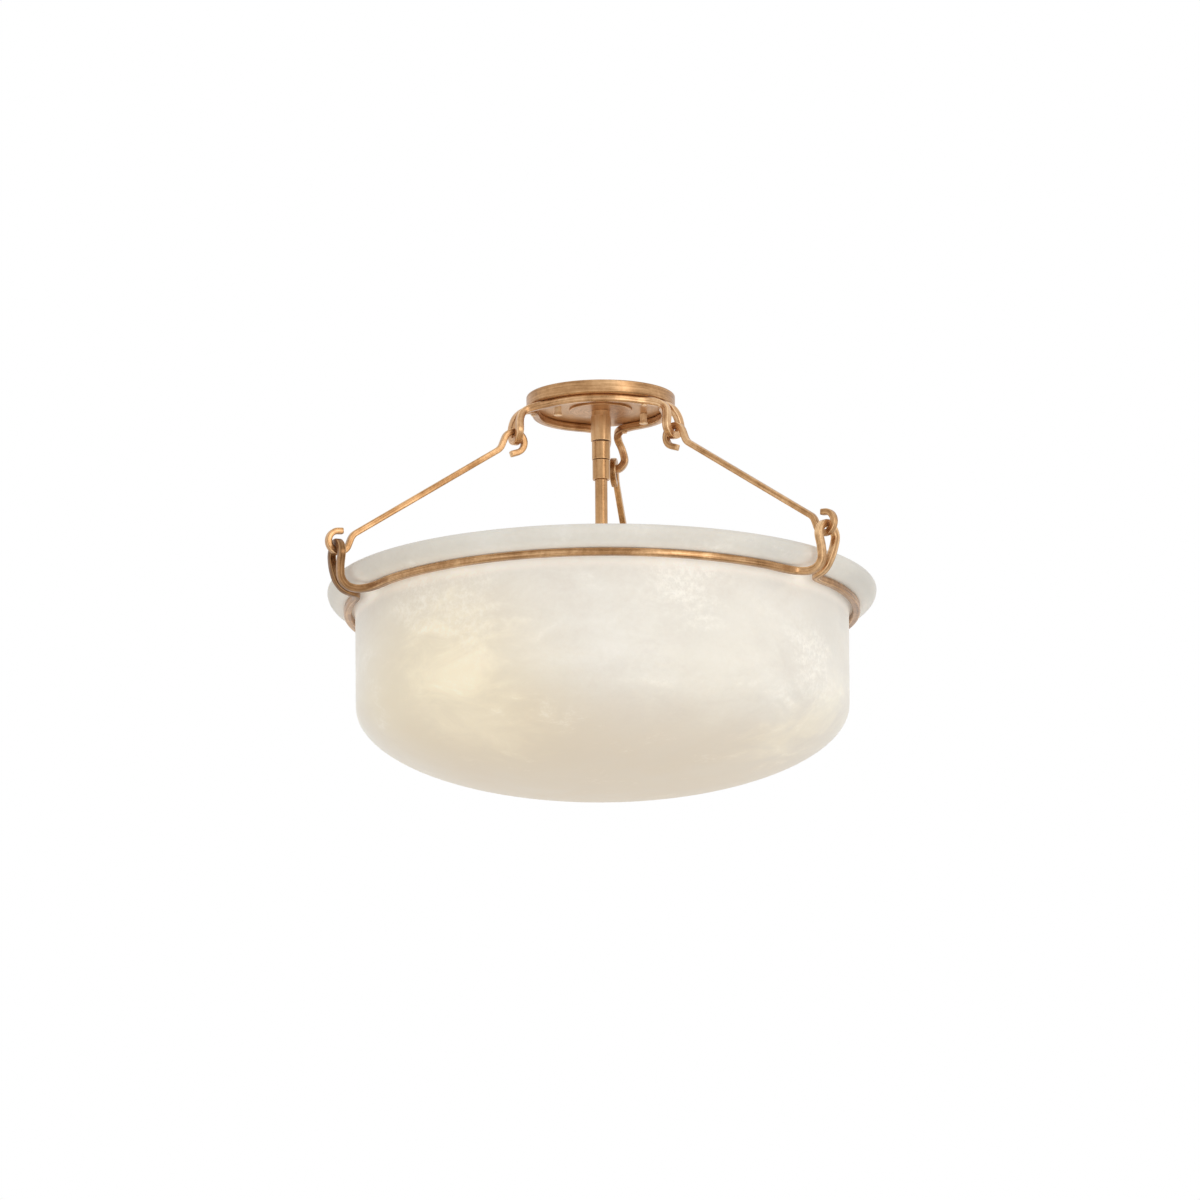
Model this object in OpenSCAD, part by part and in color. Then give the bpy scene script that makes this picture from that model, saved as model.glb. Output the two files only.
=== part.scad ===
// Semi-flush ceiling light: a canopy with a bent-bar ring, three S-hooks, a second bent-bar ring that
// carries a loose stone bowl by its lip, and a hang-straight stem with a three-lamp cluster in the bowl.
// Origin: centre of the canopy's top rim, in the ceiling plane. +Z points up, so the light hangs below zero.

/* [Canopy] */
// Outside diameter of the canopy
canopy_d = 151; // [146:1:170]
// Height of the canopy
canopy_h = 13.5; // [12.5:0.5:20]
// Thickness of the canopy's sheet
sheet_t = 1.2; // [0.8:0.1:1.6]
// Width of the flat rim that meets the ceiling
rim_w = 5; // [3:0.5:6]
// Diameter of the plate between the canopy and the stem
disc_d = 64; // [40:1:72]
// Thickness of that plate
disc_t = 2; // [1:0.25:3]

/* [Mounting straps] */
// Length of the strap that is screwed to the outlet box
box_strap_l = 104; // [100:1:118]
// Width of the box strap
box_strap_w = 19; // [16:0.5:22]
// Length of the strap that carries the canopy's studs
fix_strap_l = 112; // [106:1:120]
// Width of the stud strap
fix_strap_w = 16; // [12:0.5:18]
// Thickness of either strap
strap_t = 1.6; // [1.2:0.1:2]
// Distance between the middles of the two box screw slots
slot_pitch = 79.4; // [76:0.1:82]
// Length of a slot, end to end
slot_l = 14.4; // [12:0.1:16]
// Width of a slot
slot_w = 4.8; // [4.4:0.1:5.2]
// Distance between the two canopy studs
stud_pitch = 95; // [88:1:98]
// Diameter of a canopy stud
stud_d = 4.1; // [3.5:0.1:4.5]
// Direction of the stud strap, seen from above
stud_angle = 24; // [20:1:30]

/* [Cap nuts] */
// Diameter of a cap nut's body
cap_nut_d = 7; // [6.5:0.25:8]
// Diameter of the lip at its lower end
cap_lip_d = 8.6; // [8.2:0.1:10]
// Length of a cap nut
cap_nut_l = 10.5; // [9:0.5:14]

/* [Bent rings] */
// Side of the square bar that both rings are bent from
bar = 7.5; // [6.5:0.1:8]
// Width of the bar's worn edges
bar_edge = 1.2; // [0.6:0.1:1.6]
// Outside diameter of the upper ring
upper_ring_d = 138.6; // [134:0.2:142]
// How far the lower ring's outside stands off the bowl's straight wall
lower_ring_reach = 11.6; // [10.6:0.1:13.6]
// Distance from the ceiling to the middle of the lower ring's bar
lower_ring_drop = 223.7; // [218:0.1:232]
// Direction of the first pair of eyelets, seen from above
eye_angle = 82; // [76:1:88]

/* [Eyelets] */
// Distance from the middle of the upper ring's bar out to its eyelets
upper_eye_reach = 27.7; // [25:0.1:31]
// Reach of an upper eyelet below the middle of its ring
upper_eye_h = 37.4; // [34:0.2:42]
// Half the width of an upper eyelet, bar centre to bar centre
upper_eye_w = 11.1; // [10.9:0.1:13]
// Distance from the bowl's lip out to the middle of the lower eyelets
lower_eye_room = 10.6; // [9.4:0.1:14.4]
// Reach of a lower eyelet above the middle of its ring
lower_eye_h = 47.2; // [44:0.1:52]
// Half the width of a lower eyelet, bar centre to bar centre
lower_eye_w = 13.5; // [12.5:0.1:15]

/* [Hook rods] */
// Side of the square bar of a hook rod
rod = 6.3; // [5.5:0.1:6.8]
// Radius of a hook, to the middle of the bar
hook_r = 10.9; // [10.7:0.1:12.3]
// Slope of the long straight stretch
rod_slope = 32.6; // [31:0.2:34]
// Slope of the short shank next to a hook
shank_slope = 68; // [62:1:72]
// Radius of the bend between shank and straight stretch
rod_bend_r = 14; // [10:1:18]
// How far the arc of an upper hook runs round, from the lamp's outward direction
upper_hook_end = 252; // [248:1:270]
// How far the arc of a lower hook runs round, from the direction to the lamp's axis
lower_hook_end = 266; // [252:1:274]

/* [Ring screws] */
// Diameter of the screws that hold the upper ring to the canopy
ring_screw_d = 3.4; // [3:0.1:3.6]
// Diameter of their heads
ring_screw_head_d = 5; // [4.6:0.1:5.6]

/* [Stem] */
// Outside diameter of the threaded nipple
nipple_d = 10; // [9.5:0.1:10.4]
// Bore of the nipple
nipple_bore = 7; // [6:0.25:7.5]
// Outside diameter of the swivel cup
cup_d = 20.2; // [19.6:0.1:23]
// Distance from the ceiling to the cup's lower end
cup_bottom = 46.8; // [46.5:0.1:50]
// Distance from the ceiling to the centre of the swivel ball
ball_drop = 38; // [37.4:0.1:38.4]
// Diameter of the swivel ball
ball_d = 14.6; // [14:0.1:15]
// Outside diameter of the swivel sleeve
sleeve_d = 18.5; // [17.5:0.1:19.2]
// Length of the swivel sleeve
sleeve_l = 18.4; // [17:0.2:22]
// Outside diameter of the stem coupling
coupling_d = 17.5; // [16.5:0.1:18.4]
// Length of the stem coupling
coupling_l = 20.2; // [16:0.2:26]
// Outside diameter of the stem tube
tube_d = 12.7; // [12:0.1:13.2]
// Bore of the stem tube
tube_bore = 10.3; // [9.5:0.1:10.8]
// Outside diameter of the shank under the swivel ball
shank_d = 9; // [8.4:0.1:9.4]
// Open height between the cup and the sleeve, where the stem tilts
swivel_gap = 1; // [0.9:0.1:1.5]

/* [Lamp cluster] */
// Distance from the ceiling to the level of the lampholders
lamp_drop = 275; // [268:1:290]
// Outside diameter of the cluster's body
hub_d = 46; // [44:1:52]
// Height of the cluster's body
hub_h = 26; // [24:1:32]
// Wall of the cluster's body
hub_t = 2; // [1.5:0.1:3]
// Outside diameter of a socket arm
arm_d = 9.6; // [9:0.1:10]
// Open length of arm between the body and a lampholder
arm_l = 16; // [12:1:24]
// Outside diameter of a lampholder
holder_d = 38; // [36:0.5:42]
// Length of a lampholder
holder_l = 40; // [38:1:46]
// Inside diameter of the lampholder's screw shell
shell_bore = 28; // [27.4:0.1:28.4]
// Diameter of a bulb
bulb_d = 60; // [56:1:66]
// Length of a bulb's glass
bulb_l = 84; // [80:1:94]

/* [Bowl] */
// Outside diameter of the bowl's lip
bowl_lip_d = 557.2; // [520:0.2:620]
// How far the lip stands out over the bowl's straight wall
bowl_lip_w = 28.2; // [26:0.1:32]
// Thickness of the bowl
bowl_t = 8; // [6:0.5:9]
// Height of the lip's flare, from its seat on the ring to the widest point
flare_h = 16; // [13:0.5:20]
// Radius of the lip's round edge
lip_r = 5.4; // [4:0.1:5.8]
// Height from the seat on the ring down to the start of the curved bottom
bowl_wall_h = 103; // [90:1:120]
// Depth of the curved bottom
bowl_dome_h = 82; // [70:1:95]

/* [Hidden] */

$fn = 96;
eps = 0.01;

// Clearances: a screwed or pushed fit, a piece that turns, and a hooked or resting seat
fit_gap = 0.1;
turn_gap = 0.2;
seat_gap = 0.3;

brass = [0.72, 0.54, 0.33];
dark_brass = [0.6, 0.44, 0.27];
steel = [0.7, 0.71, 0.72];
green = [0.2, 0.5, 0.28];
porcelain = [0.93, 0.92, 0.89];
stone = [0.88, 0.85, 0.79];
milk_glass = [0.97, 0.96, 0.92];

// Canopy
canopy_r = canopy_d / 2;
rim_round = 1.5;
edge_round = 2;
canopy_face = -canopy_h;
canopy_floor = -canopy_h + sheet_t;
disc_face = canopy_face - disc_t;

// Straps, eyelet and studs
eyelet_d = 10.4;
eyelet_bore = 8;
eyelet_flange_d = 15;
eyelet_flange_t = 0.8;
eyelet_flare = 0.8;
straps_bottom = -2 * strap_t;
stud_r = stud_pitch / 2;
stud_nut_af = 7;
stud_nut_h = 3;
stud_grip = 6.8;
ground_r = 26;
ground_d = 3.9;
ground_head_d = 7.5;
ground_head_h = 2.2;
slot_size = 1.2;

// Radii that follow from the bowl: its wall, the ring round it, the eyelets outside its lip
lip_outer = bowl_lip_d / 2;
wall_r = lip_outer - bowl_lip_w;
lower_ring_d = 2 * (wall_r + lower_ring_reach);
lower_eye_r = lip_outer + lower_eye_room;

// Rings and eyelets
upper_ring_r = (upper_ring_d - bar) / 2;
upper_ring_z = canopy_face - bar / 2;
upper_eye_r = upper_ring_r + upper_eye_reach;
lower_ring_r = (lower_ring_d - bar) / 2;
lower_ring_z = -lower_ring_drop;
steps_per_span = 3;
upper_arc_steps = 9;
lower_arc_steps = 16;
upper_span = 34;
lower_span = 50;
upper_neck = 7;
lower_neck = 5.5;
// A leg of an eyelet: share of the half span (or, past the neck, of the neck) along the ring,
// share of the way out from the ring, and share of the height up to the round end
upper_leg = [
    [1, 0, 0], [0.76, 0.01, 0], [0.56, 0.05, 0.01], [0.38, 0.16, 0.02], [0.24, 0.35, 0.06],
    [0.165, 0.6, 0.15], [0.175, 0.82, 0.34], [0.26, 0.96, 0.64]
];
lower_leg = [
    [1, 0, 0], [0.76, 0, -0.01], [0.52, 0.03, -0.02], [0.31, 0.14, -0.03], [0.17, 0.41, -0.03],
    [0.12, 0.71, 0.05], [0.12, 0.92, 0.27], [0.19, 1, 0.62]
];
// The place along an eyelet's leg that the ring screw goes through
screw_place = 8;

// Ring screws
ring_screw_head_h = 1.2;
ring_nut_af = 5.5;
ring_nut_h = 2.4;
ring_screw_end = 0.6;

// Stem
nipple_top = -5;
nipple_end = disc_face - 11.5;
washer_d = 16;
washer_t = 1.2;
stem_nut_af = 14;
stem_nut_h = 4;
neck_h = 5.5;
neck_d = cup_d - 1.4;
cup_top = disc_face - neck_h;
ball_bore = 6;
ball_z = -ball_drop;
liner_t = 0.8;
liner_d = ball_d + 2 * fit_gap + 2 * liner_t;
liner_up = 4;
liner_down = 5;
cup_bore = liner_d + 2 * fit_gap;
cup_mouth_d = 12.6;
spigot_end = ball_z + ball_d / 2 + 1.3;
sleeve_top = -cup_bottom - swivel_gap;
sleeve_bottom = sleeve_top - sleeve_l;
joint_gap = 0.6;
coupling_top = sleeve_bottom - joint_gap;
coupling_bottom = coupling_top - coupling_l;
shank_seat = 10.2;
shank_end = sleeve_top - shank_seat;
tube_top = shank_end - seat_gap;

// Lamp cluster
lamp_z = -lamp_drop;
hub_top = lamp_z + hub_h / 2;
hub_bottom = lamp_z - hub_h / 2;
hub_roof_t = 3;
hub_boss_d = 18;
hub_boss_h = 8;
cover_t = 2.5;
post_d = 7;
post_r = hub_d / 2 - hub_t - post_d / 2 - 0.2;
cover_screw_d = 3;
cover_head_d = 5.6;
cover_head_h = 2;
tube_bottom = hub_top - hub_roof_t - 2;
arm_bore = 6.5;
arm_start = hub_d / 2 - hub_t - 3;
holder_start = hub_d / 2 + arm_l;
holder_back_t = 3;
arm_end = holder_start + holder_back_t + 2;
shell_t = 0.7;
shell_outer = shell_bore + 2 * shell_t;
holder_bore = shell_outer + 2 * fit_gap;
insulator_t = 6;
insulator_start = arm_end + fit_gap;
insulator_end = insulator_start + insulator_t;
contact_d = 7;
contact_t = 1;
rivet_d = 3;
shell_start = insulator_end + fit_gap;
shell_end = holder_start + holder_l - 4;
cap_d = shell_bore - 2 * seat_gap;
cap_tip = insulator_end + contact_t + seat_gap;
cap_tip_d = 9;
cap_tip_h = 1.5;
cap_cone_h = 4;
cap_end = holder_start + holder_l + 1;
cap_t = 0.6;
glass_t = 1;
glass_start = cap_end - 6;
glass_end = glass_start + bulb_l;
first_lamp = eye_angle;

// Bowl
ring_top = lower_ring_z + bar / 2;
bowl_seat = ring_top + seat_gap;
cove_w = lower_ring_reach - bar + bar_edge + seat_gap;
cove_h = 9;
flare_start = wall_r + cove_w;
lip_z = bowl_seat + flare_h;
spring_z = bowl_seat - bowl_wall_h;
shoulder_h = 14;

// Hook rods, drawn in the upright plane through the lamp's axis: first number outward, second up
upper_bar = [upper_eye_r, upper_ring_z - upper_eye_h];
lower_bar = [lower_eye_r, lower_ring_z + lower_eye_h];
pull_angle = atan2(upper_bar.y - lower_bar.y, lower_bar.x - upper_bar.x);
pull = [cos(pull_angle), -sin(pull_angle)];
swing_room = 0.8;
upper_hook = upper_bar + hook_offset(upper_eye_w) * pull;
lower_hook = lower_bar - hook_offset(lower_eye_w) * pull;
rod_mid = (upper_hook + lower_hook) / 2;
upper_tip_l = 7.5;
lower_tip_l = 5.5;
tip_edge = 0.9;
arc_n = 48;

// How far an eyelet's round end rises at the side of a rod that lies in it
function bend_rise(w) = (w - bar / 2) - sqrt(pow(w - bar / 2, 2) - pow(rod / 2 + swing_room, 2));
// Distance along the pull from the bar's middle to the hook's centre, with the hook's arc on one worn edge
function edge_offset(x, y) =
    sqrt(pow(hook_r - rod / 2 - seat_gap, 2) - pow(x * sin(pull_angle) - y * cos(pull_angle), 2))
    - x * cos(pull_angle) - y * sin(pull_angle);
function hook_offset(w) = min(
    edge_offset(bar / 2, bar / 2 - bar_edge + bend_rise(w)),
    edge_offset(bar / 2 - bar_edge, bar / 2 + bend_rise(w))
);
function along(angle) = [cos(angle), sin(angle)];
function unit(v) = v / norm(v);

// Smooth curve through four points, between the second and the third
function curve(a, b, c, d, t) =
    0.5 * (2 * b + (c - a) * t + (2 * a - 5 * b + 4 * c - d) * t * t + (3 * b - a - 3 * c + d) * t * t * t);

// Control points of half an eyelet, from the ring to the middle of the round end: along, out, up
function half_eye(leg, span, out, h, w) = concat(
    [for (p = leg) [p.x * span, p.y * out, p.z * (h - w)]],
    [for (a = [90:-30:0]) [w * sin(a), out, h - w + w * cos(a)]]
);

// The same half eyelet as a smooth run of points; the last control point is its mirror line
function half_run(p) = concat(
    [for (i = [0:len(p) - 2]) for (k = [0:steps_per_span - 1]) curve(
        i == 0 ? 2 * p[0] - p[1] : p[i - 1], p[i], p[i + 1],
        i == len(p) - 2 ? [-p[i].x, p[i].y, p[i].z] : p[i + 2], k / steps_per_span
    )],
    [p[len(p) - 1]]
);

// Distance from the axis of a point that leaves the ring's circle as its way out grows
function run_radius(p, ring_r, out) =
    let (f = min(1, p.y / (0.4 * out))) sqrt(ring_r * ring_r - p.x * p.x) * (1 - f) + ring_r * f + p.y;

// A place on the ring: position, then the direction that the bar's side faces there
function place(u, r, h, side, turn, ring_z, dir) =
    let (
        rho = [cos(turn), sin(turn), 0],
        tau = [-sin(turn), cos(turn), 0],
        g0 = max(0, min(1, h / 12)),
        g = g0 * g0 * (3 - 2 * g0),
        // A ring that hangs lies flat under the canopy, so its bar never rises there
        drop = dir < 0 ? max(0, h) : h
    ) [r * rho + side * u * tau + [0, 0, ring_z + dir * drop], [0, 0, 1 - g] - dir * g * rho];

// All places round a ring with three eyelets; dir is 1 for eyelets that stand up, -1 for ones that hang
function ring_places(leg, span, out, h, w, ring_r, ring_z, dir, arc_steps) =
    let (run = half_run(half_eye(leg, span, out, h, w)), half_arc = asin(span / ring_r), n = len(run))
    [for (turn = [eye_angle, eye_angle + 120, eye_angle + 240]) each concat(
        [for (p = run) place(p.x, run_radius(p, ring_r, out), p.z, -1, turn, ring_z, dir)],
        [for (i = [n - 2:-1:0]) place(run[i].x, run_radius(run[i], ring_r, out), run[i].z, 1, turn, ring_z, dir)],
        [for (i = [1:arc_steps - 1]) let (a = turn + half_arc + (120 - 2 * half_arc) * i / arc_steps)
            place(0, ring_r, 0, 1, a, ring_z, dir)]
    )];

// The eight corners of the worn square bar
section = [
    for (a = [[1, -1], [1, 1], [-1, 1], [-1, -1]], k = [0, 1])
        (k == 0) == (a.x * a.y > 0) ? [a.x * bar / 2, a.y * (bar / 2 - bar_edge)]
            : [a.x * (bar / 2 - bar_edge), a.y * bar / 2]
];

// Bent bar that closes on itself through the given places
module bent_ring(places) {
    n = len(places);
    m = len(section);
    points = [
        for (i = [0:n - 1]) let (
            t = unit(places[(i + 1) % n][0] - places[(i + n - 1) % n][0]),
            b = unit(places[i][1] - (places[i][1] * t) * t),
            s = cross(t, b)
        ) for (q = section) places[i][0] + q.x * s + q.y * b
    ];
    faces = [
        for (i = [0:n - 1], j = [0:m - 1], k = [0, 1]) let (
            a = i * m + j,
            b = i * m + (j + 1) % m,
            c = ((i + 1) % n) * m + (j + 1) % m,
            d = ((i + 1) % n) * m + j
        ) k == 0 ? [a, b, c] : [a, c, d]
    ];
    polyhedron(points = points, faces = faces, convexity = 12);
}

// A tube, standing up from z
module tube(outer, bore, z, h) {
    difference() {
        translate([0, 0, z]) cylinder(h = h, d = outer);
        translate([0, 0, z - eps]) cylinder(h = h + 2 * eps, d = bore);
    }
}

// A hexagon nut with a round bore, standing up from z
module hex_nut(af, bore, z, h) {
    difference() {
        translate([0, 0, z]) cylinder(h = h, d = af / cos(30), $fn = 6);
        translate([0, 0, z - eps]) cylinder(h = h + 2 * eps, d = bore);
    }
}

// A flat strap with round ends, along X, its top at z
module strap(l, w, z, end_r) {
    translate([0, 0, z - strap_t]) linear_extrude(strap_t) union() {
        square([l - 2 * end_r, w], center = true);
        square([l, w - 2 * end_r], center = true);
        for (x = [-1, 1], y = [-1, 1]) translate([x * (l / 2 - end_r), y * (w / 2 - end_r)]) circle(r = end_r);
    }
}

module box_strap() {
    color(steel) difference() {
        strap(box_strap_l, box_strap_w, 0, 3);
        translate([0, 0, -strap_t - eps]) cylinder(h = strap_t + 2 * eps, d = eyelet_d + 2 * fit_gap);
        translate([0, 0, -eyelet_flare])
            cylinder(h = eyelet_flare, d1 = eyelet_d + 2 * fit_gap, d2 = eyelet_d + 2 * fit_gap + 2 * eyelet_flare);
        translate([0, 0, -eps]) cylinder(h = 2 * eps, d = eyelet_d + 2 * fit_gap + 2 * eyelet_flare);
        for (x = [-1, 1]) translate([x * slot_pitch / 2, 0, -strap_t - eps]) {
            for (e = [-1, 1]) translate([e * (slot_l - slot_w) / 2, 0, 0]) cylinder(h = strap_t + 2 * eps, d = slot_w);
            translate([-(slot_l - slot_w) / 2, -slot_w / 2, 0]) cube([slot_l - slot_w, slot_w, strap_t + 2 * eps]);
        }
    }
}

module fixture_strap() {
    color(steel) rotate(stud_angle) difference() {
        strap(fix_strap_l, fix_strap_w, -strap_t, 3);
        translate([0, 0, straps_bottom - eps]) cylinder(h = strap_t + 2 * eps, d = eyelet_d + 2 * fit_gap);
        for (x = [-1, 1]) translate([x * stud_r, 0, straps_bottom - eps])
            cylinder(h = strap_t + 2 * eps, d = stud_d + 2 * fit_gap);
        translate([ground_r, 0, straps_bottom - eps]) cylinder(h = strap_t + 2 * eps, d = ground_d + 2 * fit_gap);
    }
}

module strap_eyelet() {
    color(steel) difference() {
        union() {
            translate([0, 0, straps_bottom]) cylinder(h = -straps_bottom, d = eyelet_d);
            translate([0, 0, straps_bottom - eyelet_flange_t]) cylinder(h = eyelet_flange_t, d = eyelet_flange_d);
            translate([0, 0, -eyelet_flare]) cylinder(h = eyelet_flare, d1 = eyelet_d, d2 = eyelet_d + 2 * eyelet_flare);
        }
        translate([0, 0, straps_bottom - 2 * eyelet_flange_t]) cylinder(h = 4 * strap_t, d = eyelet_bore);
    }
}

module ground_screw() {
    color(green) rotate(stud_angle) translate([ground_r, 0, straps_bottom]) difference() {
        union() {
            cylinder(h = strap_t, d = ground_d);
            translate([0, 0, -ground_head_h]) cylinder(h = ground_head_h, d = ground_head_d);
        }
        translate([-ground_head_d, -slot_size / 2, -ground_head_h - eps])
            cube([2 * ground_head_d, slot_size, ground_head_h / 2]);
    }
}

module canopy_studs() {
    color(steel) rotate(stud_angle) for (x = [-1, 1])
        translate([x * stud_r, 0, canopy_face - stud_grip]) cylinder(h = -strap_t - canopy_face + stud_grip, d = stud_d);
}

module stud_lock_nuts() {
    color(steel) rotate(stud_angle) for (x = [-1, 1])
        translate([x * stud_r, 0, 0]) hex_nut(stud_nut_af, stud_d + 2 * fit_gap, straps_bottom - stud_nut_h, stud_nut_h);
}

// Section of the pressed canopy, from the rim's outer edge round to its inner edge
function canopy_outline() = concat(
    [for (a = [90:-15:0]) [canopy_r - rim_round, -rim_round] + rim_round * along(a)],
    [for (a = [0:-15:-90]) [canopy_r - edge_round, canopy_face + edge_round] + edge_round * along(a)],
    [[(nipple_d + 2 * fit_gap) / 2, canopy_face], [(nipple_d + 2 * fit_gap) / 2, canopy_floor]],
    [for (a = [-90:30:0]) [canopy_r - edge_round, canopy_face + edge_round] + (edge_round - sheet_t) * along(a)],
    [for (a = [0:45:90]) [canopy_r - rim_round, -rim_round] + (rim_round - sheet_t) * along(a)],
    [[canopy_r - rim_round - rim_w, -sheet_t], [canopy_r - rim_round - rim_w, 0]]
);

// Where a ring screw goes through the upper ring's bar: along, out, down
function screw_spot() =
    half_run(half_eye(upper_leg, upper_span, upper_eye_reach, upper_eye_h, upper_eye_w))[screw_place];

module at_ring_screws() {
    p = screw_spot();
    r = run_radius(p, upper_ring_r, upper_eye_reach);
    for (turn = [0, 120, 240]) rotate(eye_angle + turn) translate([r, -p.x, 0]) children();
}

// Underside of the upper ring's bar at a ring screw
function screw_face() = upper_ring_z - bar / 2 - screw_spot().z;

module canopy() {
    color(brass) difference() {
        rotate_extrude() polygon(canopy_outline());
        rotate(stud_angle) for (x = [-1, 1]) translate([x * stud_r, 0, canopy_face - eps])
            cylinder(h = sheet_t + 2 * eps, d = stud_d + 2 * fit_gap);
        at_ring_screws() translate([0, 0, canopy_face - eps])
            cylinder(h = sheet_t + 2 * eps, d = ring_screw_d + 2 * fit_gap);
    }
}

module canopy_disc() {
    color(brass) tube(disc_d, nipple_d + 2 * fit_gap, disc_face, disc_t);
}

// Turned blind nut with a lip at its lower end
module cap_nut(side) {
    top = canopy_face - turn_gap;
    body_r = cap_nut_d / 2;
    lip_h = 1.5;
    lip_d = cap_lip_d / 2;
    color(brass) rotate(stud_angle) translate([side * stud_r, 0, top]) difference() {
        rotate_extrude() polygon([
            [0, 0], [body_r, 0], [body_r, -cap_nut_l + 2 * lip_h], [lip_d - 0.2, -cap_nut_l + lip_h],
            [lip_d, -cap_nut_l + lip_h / 2], [lip_d - 0.3, -cap_nut_l + 0.3], [lip_d - 1.2, -cap_nut_l], [0, -cap_nut_l]
        ]);
        translate([0, 0, -stud_grip - turn_gap]) cylinder(h = stud_grip + 2 * turn_gap, d = stud_d + 2 * fit_gap);
    }
}

module cap_nut_left() {
    cap_nut(-1);
}

module cap_nut_right() {
    cap_nut(1);
}

module upper_ring() {
    color(brass) difference() {
        bent_ring(ring_places(
            upper_leg, upper_span, upper_eye_reach, upper_eye_h, upper_eye_w,
            upper_ring_r, upper_ring_z, -1, upper_arc_steps
        ));
        at_ring_screws() translate([0, 0, screw_face() - bar]) {
            cylinder(h = 3 * bar, d = ring_screw_d + 2 * fit_gap);
            // Flat seat for the screw's head
            cylinder(h = bar, d = ring_screw_head_d + 2 * turn_gap);
        }
    }
}

module ring_screws() {
    color(dark_brass) at_ring_screws() difference() {
        union() {
            translate([0, 0, screw_face()])
                cylinder(h = canopy_floor + ring_nut_h + ring_screw_end - screw_face(), d = ring_screw_d);
            translate([0, 0, screw_face() - ring_screw_head_h]) cylinder(h = ring_screw_head_h, d = ring_screw_head_d);
        }
        for (a = [0, 90]) rotate(a) translate([-ring_screw_head_d / 4, -0.4, screw_face() - ring_screw_head_h - eps])
            cube([ring_screw_head_d / 2, 0.8, ring_screw_head_h / 2]);
    }
}

module ring_screw_nuts() {
    color(steel) at_ring_screws() hex_nut(ring_nut_af, ring_screw_d + 2 * fit_gap, canopy_floor, ring_nut_h);
}

module stem_nipple() {
    color(steel) tube(nipple_d, nipple_bore, nipple_end, nipple_top - nipple_end);
}

module lock_washer() {
    color(steel) tube(washer_d, nipple_d + 2 * fit_gap, canopy_floor, washer_t);
}

module stem_nut() {
    color(steel) hex_nut(stem_nut_af, nipple_d + 2 * fit_gap, canopy_floor + washer_t, stem_nut_h);
}

module swivel_neck() {
    color(brass) difference() {
        union() {
            translate([0, 0, cup_top]) cylinder(h = neck_h, d = neck_d);
            translate([0, 0, spigot_end]) cylinder(h = cup_top - spigot_end + eps, d = cup_bore - 2 * fit_gap);
        }
        translate([0, 0, nipple_end - fit_gap]) cylinder(h = disc_face - nipple_end + 1, d = nipple_d + 2 * fit_gap);
        translate([0, 0, spigot_end - 1]) cylinder(h = nipple_end - spigot_end + 1, d = nipple_bore);
    }
}

module swivel_cup() {
    color(brass) difference() {
        translate([0, 0, -cup_bottom]) cylinder(h = cup_bottom + cup_top, d = cup_d);
        translate([0, 0, ball_z]) cylinder(h = cup_top - ball_z + 1, d = cup_bore);
        translate([0, 0, ball_z]) sphere(d = cup_bore);
        translate([0, 0, -cup_bottom - 1]) cylinder(h = cup_bottom + ball_z, d = cup_mouth_d);
    }
}

module swivel_liner() {
    color(porcelain) difference() {
        intersection() {
            translate([0, 0, ball_z]) sphere(d = liner_d);
            translate([0, 0, ball_z - liner_down]) cylinder(h = liner_up + liner_down, d = 2 * liner_d);
        }
        translate([0, 0, ball_z]) sphere(d = liner_d - 2 * liner_t);
    }
}

module swivel_ball() {
    color(steel) difference() {
        union() {
            translate([0, 0, ball_z]) sphere(d = ball_d);
            translate([0, 0, shank_end]) cylinder(h = ball_z - shank_end, d = shank_d);
        }
        translate([0, 0, shank_end - 1]) cylinder(h = ball_z - shank_end + ball_d, d = ball_bore);
    }
}

module swivel_sleeve() {
    color(brass) difference() {
        translate([0, 0, sleeve_bottom]) cylinder(h = sleeve_l, d = sleeve_d);
        translate([0, 0, sleeve_bottom - eps]) cylinder(h = sleeve_l + 2 * eps, d = shank_d + 2 * fit_gap);
        translate([0, 0, sleeve_bottom - eps]) cylinder(h = shank_end - sleeve_bottom + eps, d = tube_d + 2 * fit_gap);
    }
}

module stem_coupling() {
    color(brass) tube(coupling_d, tube_d + 2 * fit_gap, coupling_bottom, coupling_l);
}

module stem_tube() {
    color(brass) tube(tube_d, tube_bore, tube_bottom, tube_top - tube_bottom);
}

module at_posts() {
    for (i = [0:2]) rotate(first_lamp + 60 + 120 * i) translate([post_r, 0, 0]) children();
}

// Lays a piece that is drawn along Z out along the direction of lamp i
module at_lamp(i) {
    translate([0, 0, lamp_z]) rotate([0, 90, first_lamp + 120 * i]) children();
}

module cluster_body() {
    color(brass) difference() {
        union() {
            difference() {
                translate([0, 0, hub_bottom]) cylinder(h = hub_h, d = hub_d);
                translate([0, 0, hub_bottom - eps]) cylinder(h = hub_h - hub_roof_t, d = hub_d - 2 * hub_t);
            }
            translate([0, 0, hub_top]) cylinder(h = hub_boss_h, d = hub_boss_d);
            at_posts() translate([0, 0, hub_bottom]) cylinder(h = hub_h - hub_roof_t / 2, d = post_d);
        }
        translate([0, 0, hub_top - hub_roof_t - 1]) cylinder(h = hub_roof_t + hub_boss_h + 2, d = tube_d + 2 * fit_gap);
        at_posts() translate([0, 0, hub_bottom - eps]) cylinder(h = hub_h / 2, d = cover_screw_d + 2 * fit_gap);
        for (i = [0:2]) at_lamp(i) translate([0, 0, arm_start]) cylinder(h = hub_d / 2, d = arm_d + 2 * fit_gap);
    }
}

module cluster_cover() {
    color(brass) difference() {
        translate([0, 0, hub_bottom - cover_t]) cylinder(h = cover_t, d = hub_d);
        at_posts() translate([0, 0, hub_bottom - cover_t - eps])
            cylinder(h = cover_t + 2 * eps, d = cover_screw_d + 2 * fit_gap);
    }
}

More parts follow.
